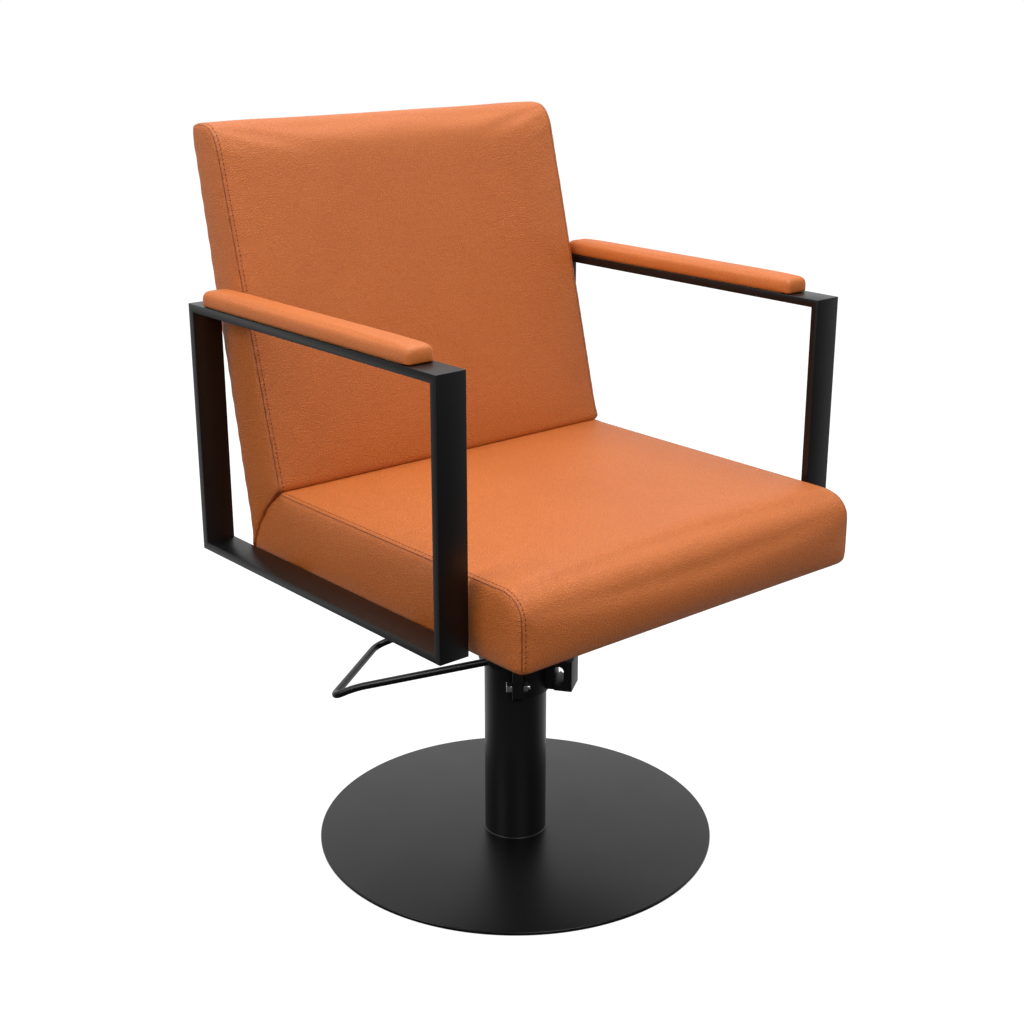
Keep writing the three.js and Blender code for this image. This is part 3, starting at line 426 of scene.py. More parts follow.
class Tree:
    """The node tree of one material or world."""

    def __init__(self, owner: bpy.types.ID) -> None:
        """Start an empty tree.

        Args:
            owner: The new material or world.
        """
        owner.use_nodes = True
        self.owner = owner
        self.nodes = owner.node_tree.nodes
        self.links = owner.node_tree.links
        self.nodes.clear()
        self.coordinates = self.node("ShaderNodeTexCoord").outputs
        self.place = Sock(self, self.coordinates["Object"])

    def node(
        self, kind: str, settings: Mapping[str, Any] | None = None, inputs: Mapping[Any, Any] | None = None
    ) -> bpy.types.Node:
        """Add a node.

        Args:
            kind: Blender's node type.
            settings: The node's own properties.
            inputs: Values or links for its sockets, by name or number.

        Returns:
            The node.
        """
        made = self.nodes.new(kind)
        for key, value in (settings or {}).items():
            setattr(made, key, value)
        for key, value in (inputs or {}).items():
            if isinstance(value, Sock):
                self.links.new(value.socket, made.inputs[key])
            else:
                made.inputs[key].default_value = value
        return made

    def sock(self, kind: str, output: Any, settings: Any = None, inputs: Any = None) -> Sock:
        """Add a node and give one of its outputs, by name or number."""
        return Sock(self, self.node(kind, settings, inputs).outputs[output])

    def noise(self, size: float, detail: float = 3.0, place: Sock | None = None) -> Sock:
        """Soft noise whose features are about `size` metres across."""
        inputs = {"Vector": place or self.place, "Scale": 1 / size, "Detail": detail}
        return self.sock("ShaderNodeTexNoise", 0, None, inputs)

    def stretched(self, scale: Triple) -> Sock:
        """Object coordinates scaled along each axis."""
        return self.sock("ShaderNodeMapping", 0, None, {"Vector": self.place, "Scale": scale})

    def warped(self, size: float, amount: float) -> Sock:
        """Object coordinates pushed about by noise.

        Args:
            size: Size of the noise's features, in metres.
            amount: How far they push, in metres.

        Returns:
            The new coordinates.
        """
        push = self.sock("ShaderNodeTexNoise", 1, None, {"Vector": self.place, "Scale": 1 / size})
        settings = {"operation": "MULTIPLY_ADD"}
        inputs = {0: push, 1: (amount,) * 3, 2: self.place}
        return self.sock("ShaderNodeVectorMath", 0, settings, inputs)

    def pebbles(self, size: float, place: Sock) -> Sock:
        """Rounded cells, as in leather.

        Args:
            size: Width of a cell, in metres.
            place: The coordinates they lie on.

        Returns:
            0 in the creases and 1 on top.
        """
        settings = {"feature": "DISTANCE_TO_EDGE"}
        gap = self.sock("ShaderNodeTexVoronoi", 0, settings, {"Vector": place, "Scale": 1 / size})
        return gap.ramp(0.0, 0.32)

    def mix(self, factor: Sock, first: Any, second: Any) -> Sock:
        """Mix two colours, each a link or a plain triple.

        Args:
            factor: The share of the second colour.
            first: The colour at 0.
            second: The colour at 1.

        Returns:
            The mixed colour.
        """
        pair = [(*c, 1.0) if isinstance(c, tuple) else c for c in (first, second)]
        return self.sock("ShaderNodeMix", 2, {"data_type": "RGBA"}, {0: factor, 6: pair[0], 7: pair[1]})

    def attribute(self, name: str) -> Sock:
        """A number stored on the mesh."""
        return self.sock("ShaderNodeAttribute", "Fac", {"attribute_name": name})

    def edges(self, radius: float) -> Sock:
        """Where the edges and corners of a piece are.

        Args:
            radius: How far from an edge still counts, in metres.

        Returns:
            1 on edges and corners, 0 on flat ground.
        """
        bent = self.sock("ShaderNodeBevel", 0, {"samples": 4}, {"Radius": radius})
        flat = self.sock("ShaderNodeNewGeometry", "Normal")
        along = self.sock("ShaderNodeVectorMath", "Value", {"operation": "DOT_PRODUCT"}, {0: bent, 1: flat})
        return (1.0 - along).ramp(0.01, 0.25)

    def bump(self, height: Sock, depth: float, strength: float = 1.0) -> Sock:
        """A normal bent by a height that runs from 0 to 1 over `depth` metres."""
        inputs = {"Strength": strength, "Distance": depth, "Height": height}
        return self.sock("ShaderNodeBump", 0, None, inputs)

    def surface(self, **inputs: Any) -> bpy.types.Material:
        """Close the tree with a Principled shader.

        Args:
            **inputs: Its sockets, with underscores for spaces.

        Returns:
            The finished material.
        """
        named = {key.replace("_", " "): value for key, value in inputs.items()}
        shader = self.sock("ShaderNodeBsdfPrincipled", 0, None, named)
        self.node("ShaderNodeOutputMaterial", None, {"Surface": shader})
        return self.owner


# ---------------------------------------------------------------- finishes
@dataclass(frozen=True)
class Leather:
    """Pebbled tan upholstery leather, with painted shade in the creases of its grain, and painted shade and
    grime beside its seams.
    """

    name: str
    light: Triple = (0.620, 0.168, 0.025)
    dark: Triple = (0.570, 0.146, 0.017)
    # crease: painted shade colour, for the grain's creases and for the leather beside the seams
    crease: Triple = (0.330, 0.064, 0.006)
    pebble: float = 2.9 * MM
    depth: float = 0.75 * MM
    roughness: float = 0.44

    def build(self) -> bpy.types.Material:
        """Build the leather's nodes.

        Returns:
            The material.
        """
        tree = Tree(bpy.data.materials.new(self.name))
        ground = tree.warped(7 * MM, 1.6 * MM)
        large = tree.pebbles(self.pebble, ground)
        small = tree.pebbles(self.pebble * 0.52, ground)
        pores = tree.noise(0.5 * MM, 2.0)
        grain = large * 0.62 + small * 0.26 + pores * 0.12
        cloudy = tree.noise(90 * MM, 4.0).ramp(0.30, 0.70)
        mottle = tree.noise(9 * MM, 3.0).ramp(0.25, 0.75)
        seam = tree.attribute("seam_grime_and_shade")
        colour = tree.mix(cloudy * 0.5 + mottle * 0.5, self.dark, self.light)
        # Painted shade: the grain's creases are darkened toward the crease colour.
        colour = tree.mix((1.0 - grain) * 0.55, colour, self.crease)
        # Painted shade and grime: the leather is darkened beside the seams, in the sunk seam valley.
        colour = tree.mix(seam * 0.45, colour, self.crease)
        pull = tree.noise(5 * MM, 2.0) * seam
        return tree.surface(
            Base_Color=colour,
            Roughness=self.roughness + 0.10 * (1.0 - grain) + 0.06 * mottle,
            Normal=tree.bump(grain + pull * 1.5, self.depth, 0.8),
            Specular_IOR_Level=0.5,
        )


@dataclass(frozen=True)
class Thread:
    """Twisted sewing thread."""

    colour: Triple = (0.36, 0.095, 0.022)

    def build(self) -> bpy.types.Material:
        """Build the thread's nodes.

        Returns:
            The material.
        """
        tree = Tree(bpy.data.materials.new("sewing_thread"))
        twist = tree.sock(
            "ShaderNodeTexWave", 1, {"bands_direction": "DIAGONAL"}, {"Vector": tree.place, "Scale": 900.0}
        )
        colour = tree.mix(twist, self.colour, (0.20, 0.048, 0.012))
        return tree.surface(Base_Color=colour, Roughness=0.62, Normal=tree.bump(twist, 0.1 * MM))


@dataclass(frozen=True)
class SeamShadow:
    """Dark leather for painted shade: the shadow strip along the sunk line between two sewn panels, and the
    shade in a needle puncture.
    """

    name: str
    colour: Triple
    faded: Triple

    def build(self) -> bpy.types.Material:
        """Build the dark leather's nodes.

        Returns:
            The material.
        """
        tree = Tree(bpy.data.materials.new(self.name))
        uneven = tree.noise(4 * MM, 3.0)
        colour = tree.mix(uneven.ramp(0.3, 0.7), self.colour, self.faded)
        return tree.surface(Base_Color=colour, Roughness=0.7, Normal=tree.bump(uneven, 0.2 * MM))


@dataclass(frozen=True)
class PaintedMetal:
    """Black paint on steel or iron: fine orange peel, specks, and paler edges."""

    name: str
    colour: Triple
    roughness: float
    peel: float
    peel_depth: float
    wear: Triple
    wear_share: float
    shine: float

    def build(self) -> bpy.types.Material:
        """Build the paint's nodes.

        Returns:
            The material.
        """
        tree = Tree(bpy.data.materials.new(self.name))
        peel = tree.noise(self.peel, 2.0)
        flecks = tree.noise(0.9 * MM, 1.0).ramp(0.62, 0.74)
        smudge = tree.noise(70 * MM, 4.0)
        worn = tree.edges(1.2 * MM) * tree.noise(6 * MM, 4.0).ramp(0.35, 0.7)
        colour = tree.mix(flecks * 0.35, self.colour, self.wear)
        colour = tree.mix(worn * self.wear_share, colour, self.wear)
        return tree.surface(
            Base_Color=colour,
            Roughness=self.roughness + 0.10 * (smudge - 0.5) + 0.08 * peel,
            Normal=tree.bump(peel, self.peel_depth, 0.7),
            Specular_IOR_Level=self.shine,
        )


@dataclass(frozen=True)
class Metal:
    """Bare or plated metal with fine machining lines and smudges."""

    name: str
    colour: Triple
    roughness: float
    lines: float

    def build(self) -> bpy.types.Material:
        """Build the metal's nodes.

        Returns:
            The material.
        """
        tree = Tree(bpy.data.materials.new(self.name))
        stroke = tree.noise(1.0, 2.0, tree.stretched((900.0, 900.0, 6000.0)))
        smudge = tree.noise(8 * MM, 3.0)
        dull = tuple(0.72 * part for part in self.colour)
        return tree.surface(
            Base_Color=tree.mix(smudge.ramp(0.4, 0.75), self.colour, dull),
            Metallic=1.0,
            Roughness=self.roughness + 0.12 * smudge + 0.08 * stroke,
            Normal=tree.bump(stroke, self.lines, 0.5),
        )


@dataclass(frozen=True)
class Rubber:
    """Moulded black rubber with dust in its texture."""

    def build(self) -> bpy.types.Material:
        """Build the rubber's nodes.

        Returns:
            The material.
        """
        tree = Tree(bpy.data.materials.new("moulded_rubber"))
        skin = tree.noise(0.6 * MM, 3.0)
        dust = tree.noise(30 * MM, 4.0).ramp(0.45, 0.8)
        return tree.surface(
            Base_Color=tree.mix(dust * 0.3, (0.012, 0.012, 0.012), (0.06, 0.055, 0.05)),
            Roughness=0.72 + 0.12 * skin,
            Normal=tree.bump(skin, 0.15 * MM),
        )


@dataclass(frozen=True)
class Plywood:
    """Birch plywood: long face grain and darker plies."""

    def build(self) -> bpy.types.Material:
        """Build the plywood's nodes.

        Returns:
            The material.
        """
        tree = Tree(bpy.data.materials.new("birch_plywood"))
        grain = tree.noise(1.0, 5.0, tree.stretched((6.0, 160.0, 60.0)))
        plies = tree.sock(
            "ShaderNodeTexWave", 1, {"bands_direction": "Z"}, {"Vector": tree.place, "Scale": 110.0}
        )
        colour = tree.mix(grain.ramp(0.3, 0.7), (0.60, 0.42, 0.24), (0.40, 0.25, 0.12))
        colour = tree.mix(plies.ramp(0.7, 0.9) * 0.4, colour, (0.28, 0.17, 0.08))
        rough = 0.62 + 0.15 * grain
        return tree.surface(Base_Color=colour, Roughness=rough, Normal=tree.bump(grain, 0.2 * MM))


@dataclass(frozen=True)
class DustCloth:
    """Black non-woven cloth under the seat."""

    def build(self) -> bpy.types.Material:
        """Build the cloth's nodes.

        Returns:
            The material.
        """
        tree = Tree(bpy.data.materials.new("dust_cloth"))
        fibres = tree.noise(1.0, 3.0, tree.stretched((900.0, 260.0, 900.0)))
        dots = tree.pebbles(1.6 * MM, tree.place)
        return tree.surface(
            Base_Color=tree.mix(fibres, (0.010, 0.010, 0.011), (0.035, 0.035, 0.037)),
            Roughness=0.85 + 0.1 * fibres,
            Normal=tree.bump(fibres * 0.6 + dots * 0.4, 0.25 * MM),
        )


POWDER_COAT = PaintedMetal(
    name="black_powder_coat",
    colour=(0.0014, 0.0014, 0.0015),
    roughness=0.31,
    peel=0.8 * MM,
    peel_depth=0.05 * MM,
    wear=(0.030, 0.030, 0.032),
    wear_share=0.55,
    shine=0.42,
)
# Painted light: a lighter copy of the powder coat's black for the column tube and its weld, so that they
# read brighter.
COLUMN_BRIGHTENED_BLACK = (0.0075, 0.0075, 0.0077)
CASTING = PaintedMetal(
    name="black_casting",
    colour=(0.0062, 0.0062, 0.0063),
    roughness=0.42,
    peel=1.6 * MM,
    peel_depth=0.22 * MM,
    wear=(0.050, 0.048, 0.046),
    wear_share=0.6,
    shine=0.36,
)


class Workshop:
    """Every finish, built once, and the dressing of pieces and CAD nodes."""

    def __init__(self) -> None:
        """Build the materials."""
        self.finishes = {
            Slot.UPHOLSTERY: Leather("tan_leather").build(),
            Slot.POWDER_COAT: POWDER_COAT.build(),
            Slot.CASTING: CASTING.build(),
            Slot.BRIGHT_STEEL: Metal("bright_steel", (0.66, 0.66, 0.67), 0.18, 0.02 * MM).build(),
            Slot.ZINC: Metal("zinc_plate", (0.42, 0.42, 0.41), 0.32, 0.05 * MM).build(),
            Slot.RUBBER: Rubber().build(),
            Slot.PLYWOOD: Plywood().build(),
            Slot.BRONZE: Metal("bearing_bronze", (0.47, 0.30, 0.12), 0.30, 0.05 * MM).build(),
            Slot.DUST_COVER: DustCloth().build(),
        }
        self.smooth_leather = Leather("tan_leather_arms", pebble=2.2 * MM, depth=0.28 * MM).build()
        # Painted light: the column's copy of the powder coat, made lighter.
        self.brightened_column_paint = replace(POWDER_COAT, name="black_column_paint_brightened", colour=COLUMN_BRIGHTENED_BLACK).build()
        self.thread = Thread().build()
        # Painted shadow: dark leather for the strip that stands for the shade along each seam.
        self.seam_shadow = SeamShadow("seam_shadow_strip", (0.110, 0.026, 0.006), (0.230, 0.058, 0.013)).build()
        # Painted shade: very dark leather for the beads that stand for the shade in the needle punctures.
        self.hole_shade = SeamShadow("needle_hole_shade", (0.060, 0.012, 0.004), (0.110, 0.024, 0.007)).build()

    def dress(
        self, obj: bpy.types.Object, body: str, slot: Slot, material: bpy.types.Material | None = None
    ) -> bpy.types.Object:
        """Give a piece its finish and let it ride on a body.

        Args:
            obj: The piece.
            body: The CAD body it moves with.
            slot: The record's slot that its finish belongs to.
            material: A material other than the slot's own.

        Returns:
            The piece.
        """
        obj.data.materials.clear()
        obj.data.materials.append(material or self.finishes[slot])
        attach(obj, body)
        LOG.info("%s: %d faces on %s", obj.name, len(obj.data.polygons), body)
        return obj

    def dress_frame(self) -> None:
        """Give every CAD node the finish that the record names for it."""
        for row in frame["record"]["subparts"]:
            node = frame["nodes"][row["node"]]
            material = self.finishes[Slot(row["material_slot"])]
            if not node.material_slots:
                node.data.materials.append(material)
            for holder in node.material_slots:
                holder.link = "OBJECT"
                holder.material = material


# ---------------------------------------------------------------- padded pieces
def side_outline(node: str) -> list[Point2]:
    """The (Y, Z) corners of a padded CAD node's flat side, in order round it.

    Args:
        node: The CAD node's name.

    Returns:
        The corners.
    """
    low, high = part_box(node)
    flat = {
        (round(v.co.y, 5), round(v.co.z, 5))
        for v in frame["nodes"][node].data.vertices
        if abs(v.co.x - high.x) < 0.01 * MM
    }
    middle_y = (low.y + high.y) / 2
    middle_z = (low.z + high.z) / 2
    return sorted(flat, key=lambda p: math.atan2(p[1] - middle_z, p[0] - middle_y))


@dataclass
class Joint:
    """The curved face where one padded piece is sewn to another."""

    node: str
    other: str
    reach: float = 5 * MM
    press: float = 2.5 * MM
    shared: float = 3 * MM
    points: list[Point2] = field(init=False)
    near: kdtree.KDTree = field(init=False)

    def __post_init__(self) -> None:
        """Find the joint: the part of the outline that both CAD nodes share."""
        others = side_outline(self.other)
        outline = side_outline(self.node)
        both = [p for p in outline if min(math.dist(p, q) for q in others) < self.shared]
        self.points = sorted(both, key=lambda p: p[1])
        self.near = tree_of([even([Vector((0, y, z)) for y, z in self.points], 2 * MM)])

    def holds(self, place: Vector) -> bool:
        """Whether a place lies on the joint."""
        return self.near.find(Vector((0, place.y, place.z)))[2] < self.reach

    def pressed(self, outline: Sequence[Point2], outward: int) -> list[Point2]:
        """The outline with the joint pressed into the neighbour, so that no gap shows.

        Args:
            outline: The piece's outline, whose order is the CAD node's.
            outward: 1 if the neighbour lies to the rear, -1 if to the front.

        Returns:
            The new outline.
        """
        (low_y, low_z), (high_y, high_z) = self.points[0], self.points[-1]
        length = math.hypot(high_y - low_y, high_z - low_z)
        step = outward * self.press / length
        shift = ((high_z - low_z) * step, (low_y - high_y) * step)
        sewn = set(self.points)
        original = side_outline(self.node)
        return [
            (y + shift[0], z + shift[1]) if was in sewn else (y, z)
            for (y, z), was in zip(outline, original)
        ]


def even(points: Sequence[Vector], pitch: float) -> list[Vector]:
    """Points at equal steps along a line.

    Args:
        points: The line's corners.
        pitch: The wanted step, in metres.

    Returns:
        The even points, ends included.
    """
    line = np.array([tuple(p) for p in points])
    lengths = np.linalg.norm(np.diff(line, axis=0), axis=1)
    run = np.concatenate([[0.0], np.cumsum(lengths)])
    count = max(2, round(run[-1] / pitch) + 1)
    stops = np.linspace(0.0, run[-1], count)
    columns = [np.interp(stops, run, line[:, axis]) for axis in range(3)]
    return [Vector(values) for values in zip(*columns)]


def stretch(loop: Sequence[Vector], start: Vector, via: Vector, end: Vector) -> list[Vector]:
    """The part of a closed loop that runs from one place past a second to a third.

    Args:
        loop: The loop's points.
        start: Near the first point.
        via: Near a point on the way, which settles the direction.
        end: Near the last point.

    Returns:
        The points of that part.
    """
    count = len(loop)
    first, passed, last = (
        min(range(count), key=lambda i: (loop[i] - place).length) for place in (start, via, end)
    )
    ahead = (last - first) % count
    if (passed - first) % count <= ahead:
        return [loop[(first + step) % count] for step in range(ahead + 1)]
    return [loop[(first - step) % count] for step in range((first - last) % count + 1)]


def seam_loops(outline: Sequence[Point2], half: float) -> dict[Side, list[Vector]]:
    """The seams round both sides of a pad.

    Args:
        outline: The pad's (Y, Z) corners, in order.
        half: Half the pad's width.

    Returns:
        Each side's seam as even points.
    """
    loops = {}
    for side in Side:
        corners = [Vector((side.value * half, y, z)) for y, z in outline]
        loops[side] = even([*corners, corners[0]], 3 * MM)
    return loops


@dataclass
class Padding:
    """How a padded form is blown up between its sewn edges."""

    voxel: float
    swell: Vector
    hold: float
    pressure: float = 4.0
    frames: int = 20
    smooth: int = 9
    after: int = 6
    ripple: float = 0.4 * MM
    ripple_size: float = 110 * MM
    ripple_reach: float = 25 * MM
    slide: float = 0.12
    sink: float = 0.10
    fullness: float = 1.6
    edge_reach: float = 9 * MM

    def inflate(
        self,
        obj: bpy.types.Object,
        sewn: kdtree.KDTree,
        rests: Callable[[Vector], bool],
        joined: Callable[[Vector], bool] | None = None,
    ) -> None:
        """Remesh a plain form, blow it up by cloth simulation, and smooth it.

        Args:
            obj: The plain closed form.
            sewn: Points along the sewn edges, which stay put.
            rests: Whether a point lies on something flat, and so stays put too.
            joined: Whether a point is sewn to another pad, and so stays sharp as well.
        """
        apply_modifier(obj, "REMESH", mode="VOXEL", voxel_size=self.voxel, adaptivity=0.0)
        loose = obj.vertex_groups.new(name="loose")
        for vertex in obj.data.vertices:
            if joined is None or not joined(vertex.co):
                loose.add([vertex.index], 1.0, "REPLACE")
        soften = {"factor": 0.5, "vertex_group": loose.name}
        apply_modifier(obj, "SMOOTH", iterations=self.smooth, **soften)
        start = np.array([v.co[:] for v in obj.data.vertices])
        facing = np.array([v.normal[:] for v in obj.data.vertices])
        gaps = np.array([sewn.find(place)[2] for place in start])
        held = np.array([rests(Vector(place)) for place in start])
        if joined is not None:
            held |= np.array([joined(Vector(place)) for place in start])
        caps = np.abs(facing) @ np.array(self.swell[:])
        moved = self.simulate(obj, gaps, held) - start
        moved[held] = 0.0
        out = np.sum(moved * facing, axis=1)
        slid = moved - facing * out[:, None]
        typical = float(np.percentile(np.abs(out[~held]), 80))
        gain = max(1.0, self.fullness * float(np.median(caps)) / typical)
        LOG.info("%s: cloth moved %.1f mm, gain %.2f", obj.name, typical / MM, gain)
        risen = np.tanh(np.maximum(out, -self.sink * caps) * gain / caps) * caps
        risen *= 1 - np.exp(-((gaps / self.edge_reach) ** 2))
        moved = facing * risen[:, None] + slid * self.slide
        waves = np.array([noise.noise(Vector(place) / self.ripple_size) for place in start])
        waves *= self.ripple * (1 - np.exp(-gaps / self.ripple_reach)) * ~held
        final = start + moved + facing * waves[:, None]
        obj.data.vertices.foreach_set("co", final.ravel())
        obj.data.update()
        apply_modifier(obj, "SMOOTH", iterations=self.after, **soften)
        obj.vertex_groups.remove(obj.vertex_groups["loose"])
        apply_modifier(obj, "SUBSURF", levels=1, render_levels=1)
        select_only(obj)
        bpy.ops.object.shade_smooth()

    def simulate(self, obj: bpy.types.Object, gaps: np.ndarray, held: np.ndarray) -> np.ndarray:
        """Run the cloth and give where its points end.

        Args:
            obj: The remeshed form.
            gaps: Each point's distance to the nearest sewn edge.
            held: Which points lie on something flat.

        Returns:
            The points' places after the last frame.
        """
        group = obj.vertex_groups.new(name="held")
        for index in np.nonzero(held | (gaps < self.hold))[0]:
            group.add([int(index)], 1.0, "REPLACE")
        cloth = obj.modifiers.new("Cloth", "CLOTH")
        settings = cloth.settings
        settings.quality = 4
        settings.use_pressure = True
        settings.uniform_pressure_force = self.pressure
        settings.vertex_group_mass = group.name
        settings.effector_weights.gravity = 0
        cloth.collision_settings.use_collision = False
        cloth.point_cache.frame_start = 1
        cloth.point_cache.frame_end = self.frames
        scene = bpy.context.scene
        for number in range(1, self.frames + 1):
            scene.frame_set(number)
        shaped = obj.evaluated_get(bpy.context.evaluated_depsgraph_get())
        final = np.array([v.co[:] for v in shaped.data.vertices])
        obj.modifiers.remove(cloth)
        obj.vertex_groups.remove(group)
        scene.frame_set(1)
        return final


def tree_of(lines: Sequence[Sequence[Vector]]) -> kdtree.KDTree:
    """A search tree of the points on some lines.

    Args:
        lines: The lines.

    Returns:
        The tree, ready for searching.
    """
    points = [point for line in lines for point in line]
    found = kdtree.KDTree(len(points))
    for number, point in enumerate(points):
        found.insert(point, number)
    found.balance()
    return found


def crease_seams(obj: bpy.types.Object, lines: Sequence[Sequence[Vector]]) -> None:
    """Sink the leather a little along its seams and store how near each point is to one, for the leather's
    painted shade and grime beside the seams.

    Args:
        obj: The padded piece.
        lines: The seams.
    """
    depth = 0.7 * MM
    near = tree_of(lines)
    mesh = obj.data
    share = np.array([math.exp(-((near.find(v.co)[2] / (5 * MM)) ** 2)) for v in mesh.vertices])
    places = np.array([v.co[:] for v in mesh.vertices])
    facing = np.array([v.normal[:] for v in mesh.vertices])
    mesh.vertices.foreach_set("co", (places - facing * (share * depth)[:, None]).ravel())
    # This closeness drives the painted shade and grime beside the seams.
    layer = mesh.attributes.new("seam_grime_and_shade", "FLOAT", "POINT")
    layer.data.foreach_set("value", share.astype(np.float32))
    mesh.update()


@dataclass
class Sewing:
    """Painted seam shadows and topstitching with painted shade at the needle punctures, laid on a finished
    padded piece.
    """

    workshop: Workshop
    body: str = "seat"
    seam_shadow_radius: float = 0.80 * MM
    seam_shadow_sunk: float = 0.40 * MM
    inset: float = 7 * MM
    pitch: float = 6.2 * MM
    thread_length: float = 3.7 * MM
    thread_width: float = 0.85 * MM
    hole_length: float = 2.4 * MM
    hole_width: float = 1.7 * MM
    thread_height: float = 0.68 * MM
    hole_depth: float = 0.5 * MM
    step: float = 3 * MM

    def on_surface(self, piece: bpy.types.Object, place: Vector) -> tuple[Vector, Vector]:
        """The nearest point of a piece's surface, and its normal."""
        return piece.closest_point_on_mesh(place)[1:3]

    def seam_shadow(self, name: str, piece: bpy.types.Object, line: Sequence[Vector]) -> bpy.types.Object:
        """A dark strip along one seam, sunk in the leather: painted shadow of the seam line between the
        panels.

        Args:
            name: The strip's name.
            piece: The padded piece it lies on.
            line: The seam's course.

        Returns:
            The strip.
        """
        path = []
        for place in even(line, self.step):
            point, normal = self.on_surface(piece, place)
            path.append(point - normal * self.seam_shadow_sunk)
        # Painted shadow: a dark rod, sunk along the seam, stands for the shade between the panels.
        made = rod(name, smoothed(path), self.seam_shadow_radius, 2)
        return self.workshop.dress(made, self.body, Slot.UPHOLSTERY, self.workshop.seam_shadow)

    def topstitch(self, name: str, piece: bpy.types.Object, line: Sequence[Vector], side: Side) -> None:
        """A row of stitches beside a seam, towards the middle of the chair, with a dark bead of painted
        shade at each needle puncture.

        Args:
            name: The row's name.
            piece: The padded piece it lies on.
            line: The seam's course.
            side: The side of the chair that the seam is on.
        """
        inward = Vector((-side.value * self.inset, 0, 0))
        path = [self.on_surface(piece, place + inward) for place in even(line, self.pitch)]
        threads, hole_shade_places = [], []
        for (here, up), (there, _) in zip(path, path[1:]):
            ahead = (there - here).normalized()
            across = up.cross(ahead).normalized()
            turn = Matrix((ahead, across, ahead.cross(across))).transposed().to_4x4()
            threads.append(Matrix.Translation((here + there) / 2) @ turn)
            hole_shade_places.append(Matrix.Translation(here) @ turn)
        thread = bead(self.thread_length, self.thread_width, self.thread_height)
        # Painted shade: a dark bead at each needle puncture stands for the shade inside it.
        hole_shade = bead(self.hole_length, self.hole_width, self.hole_depth)
        rows = (
            (f"{name}_threads", thread, threads, self.workshop.thread),
            (f"{name}_needle_holes", hole_shade, hole_shade_places, self.workshop.hole_shade),
        )
        for row_name, shape, places, material in rows:
            row = copies(row_name, shape, places)
            self.workshop.dress(row, self.body, Slot.UPHOLSTERY, material)


def smoothed(path: Sequence[Vector]) -> list[Vector]:
    """A line with its small kinks averaged away, its ends kept.

    Args:
        path: The line's points.

    Returns:
        The smoothed points.
    """
    rounds = 4
    line = list(path)
    for _ in range(rounds):
        inner = [(a + b * 2 + c) / 4 for a, b, c in zip(line, line[1:], line[2:])]
        line = [line[0], *inner, line[-1]]
    return line


def bead(length: float, width: float, height: float) -> bpy.types.Object:
    """A small rounded bead along X.

    Args:
        length: Its size along X.
        width: Its size along Y.
        height: Its size along Z.

    Returns:
        The bead.
    """
    select_only()
    bpy.ops.mesh.primitive_uv_sphere_add(segments=8, ring_count=6, radius=0.5, location=(0, 0, 0))
    obj = bpy.context.object
    with edit(obj):
        bpy.ops.mesh.select_all(action="SELECT")
        bpy.ops.transform.resize(value=(length, width, height), center_override=(0, 0, 0))
    bpy.ops.object.shade_smooth()
    return obj


# ---------------------------------------------------------------- sub-assemblies
@dataclass
class Base:
    """The round base plate on its rubber pad."""

    workshop: Workshop
    edge: float = 1.4 * MM
    sides: int = 192

    def build(self) -> None:
        """Make the plate."""
        low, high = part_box("base_plate")
        rings = [(high.x, low.z), (high.x, high.z)]
        plate = turned("base_plate_body", rings, self.sides)
        round_edges(plate, self.edge, 4)
        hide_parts("base_plate")
        self.workshop.dress(plate, "base", Slot.POWDER_COAT)


@dataclass
class Column:
    """The column tube, its cap and the lift rod's visible end."""

    workshop: Workshop
    wall: float = 4 * MM
    bore_depth: float = 24 * MM
    edge: float = 0.8 * MM
    weld_radius: float = 1.6 * MM
    sides: int = 96

    def build(self) -> None:
        """Make the tube, its weld and the cap."""
        low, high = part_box("column_tube")
        bore = high.x - self.wall
        rings = [(high.x, low.z), (high.x, high.z), (bore, high.z), (bore, high.z - self.bore_depth)]
        tube = turned("column_tube_body", rings, self.sides)
        round_edges(tube, self.edge)
        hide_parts("column_tube")
        # The tube and its weld take the lighter column black: painted light.
        paint = self.workshop.brightened_column_paint
        self.workshop.dress(tube, "base", Slot.POWDER_COAT, paint)
        self.workshop.dress(self.weld(high.x, low.z), "base", Slot.POWDER_COAT, paint)
        for node, body, slot in (
            ("column_cap", "base", Slot.CASTING),
            ("piston_rod", "piston", Slot.BRIGHT_STEEL),
            ("swivel_hub", "seat", Slot.CASTING),
        ):
            self.workshop.dress(refined(node, 0.9 * MM), body, slot)

    def weld(self, radius: float, height: float) -> bpy.types.Object:
        """The painted weld bead where the tube meets the plate.

        Args:
            radius: The tube's radius.
            height: Height of the plate's top.

        Returns:
            The bead.
        """
        steps = 8
        foot = radius + self.weld_radius
        rings = [(foot, height)]
        for step in range(1, steps + 1):
            angle = math.radians(90 * step / steps)
            spread = foot - self.weld_radius * math.sin(angle)
            rings.append((spread, height + self.weld_radius * (1 - math.cos(angle))))
        bead_ring = turned("column_weld", rings, self.sides)
        bpy.ops.object.shade_smooth_by_angle(angle=math.radians(40))
        return bead_ring


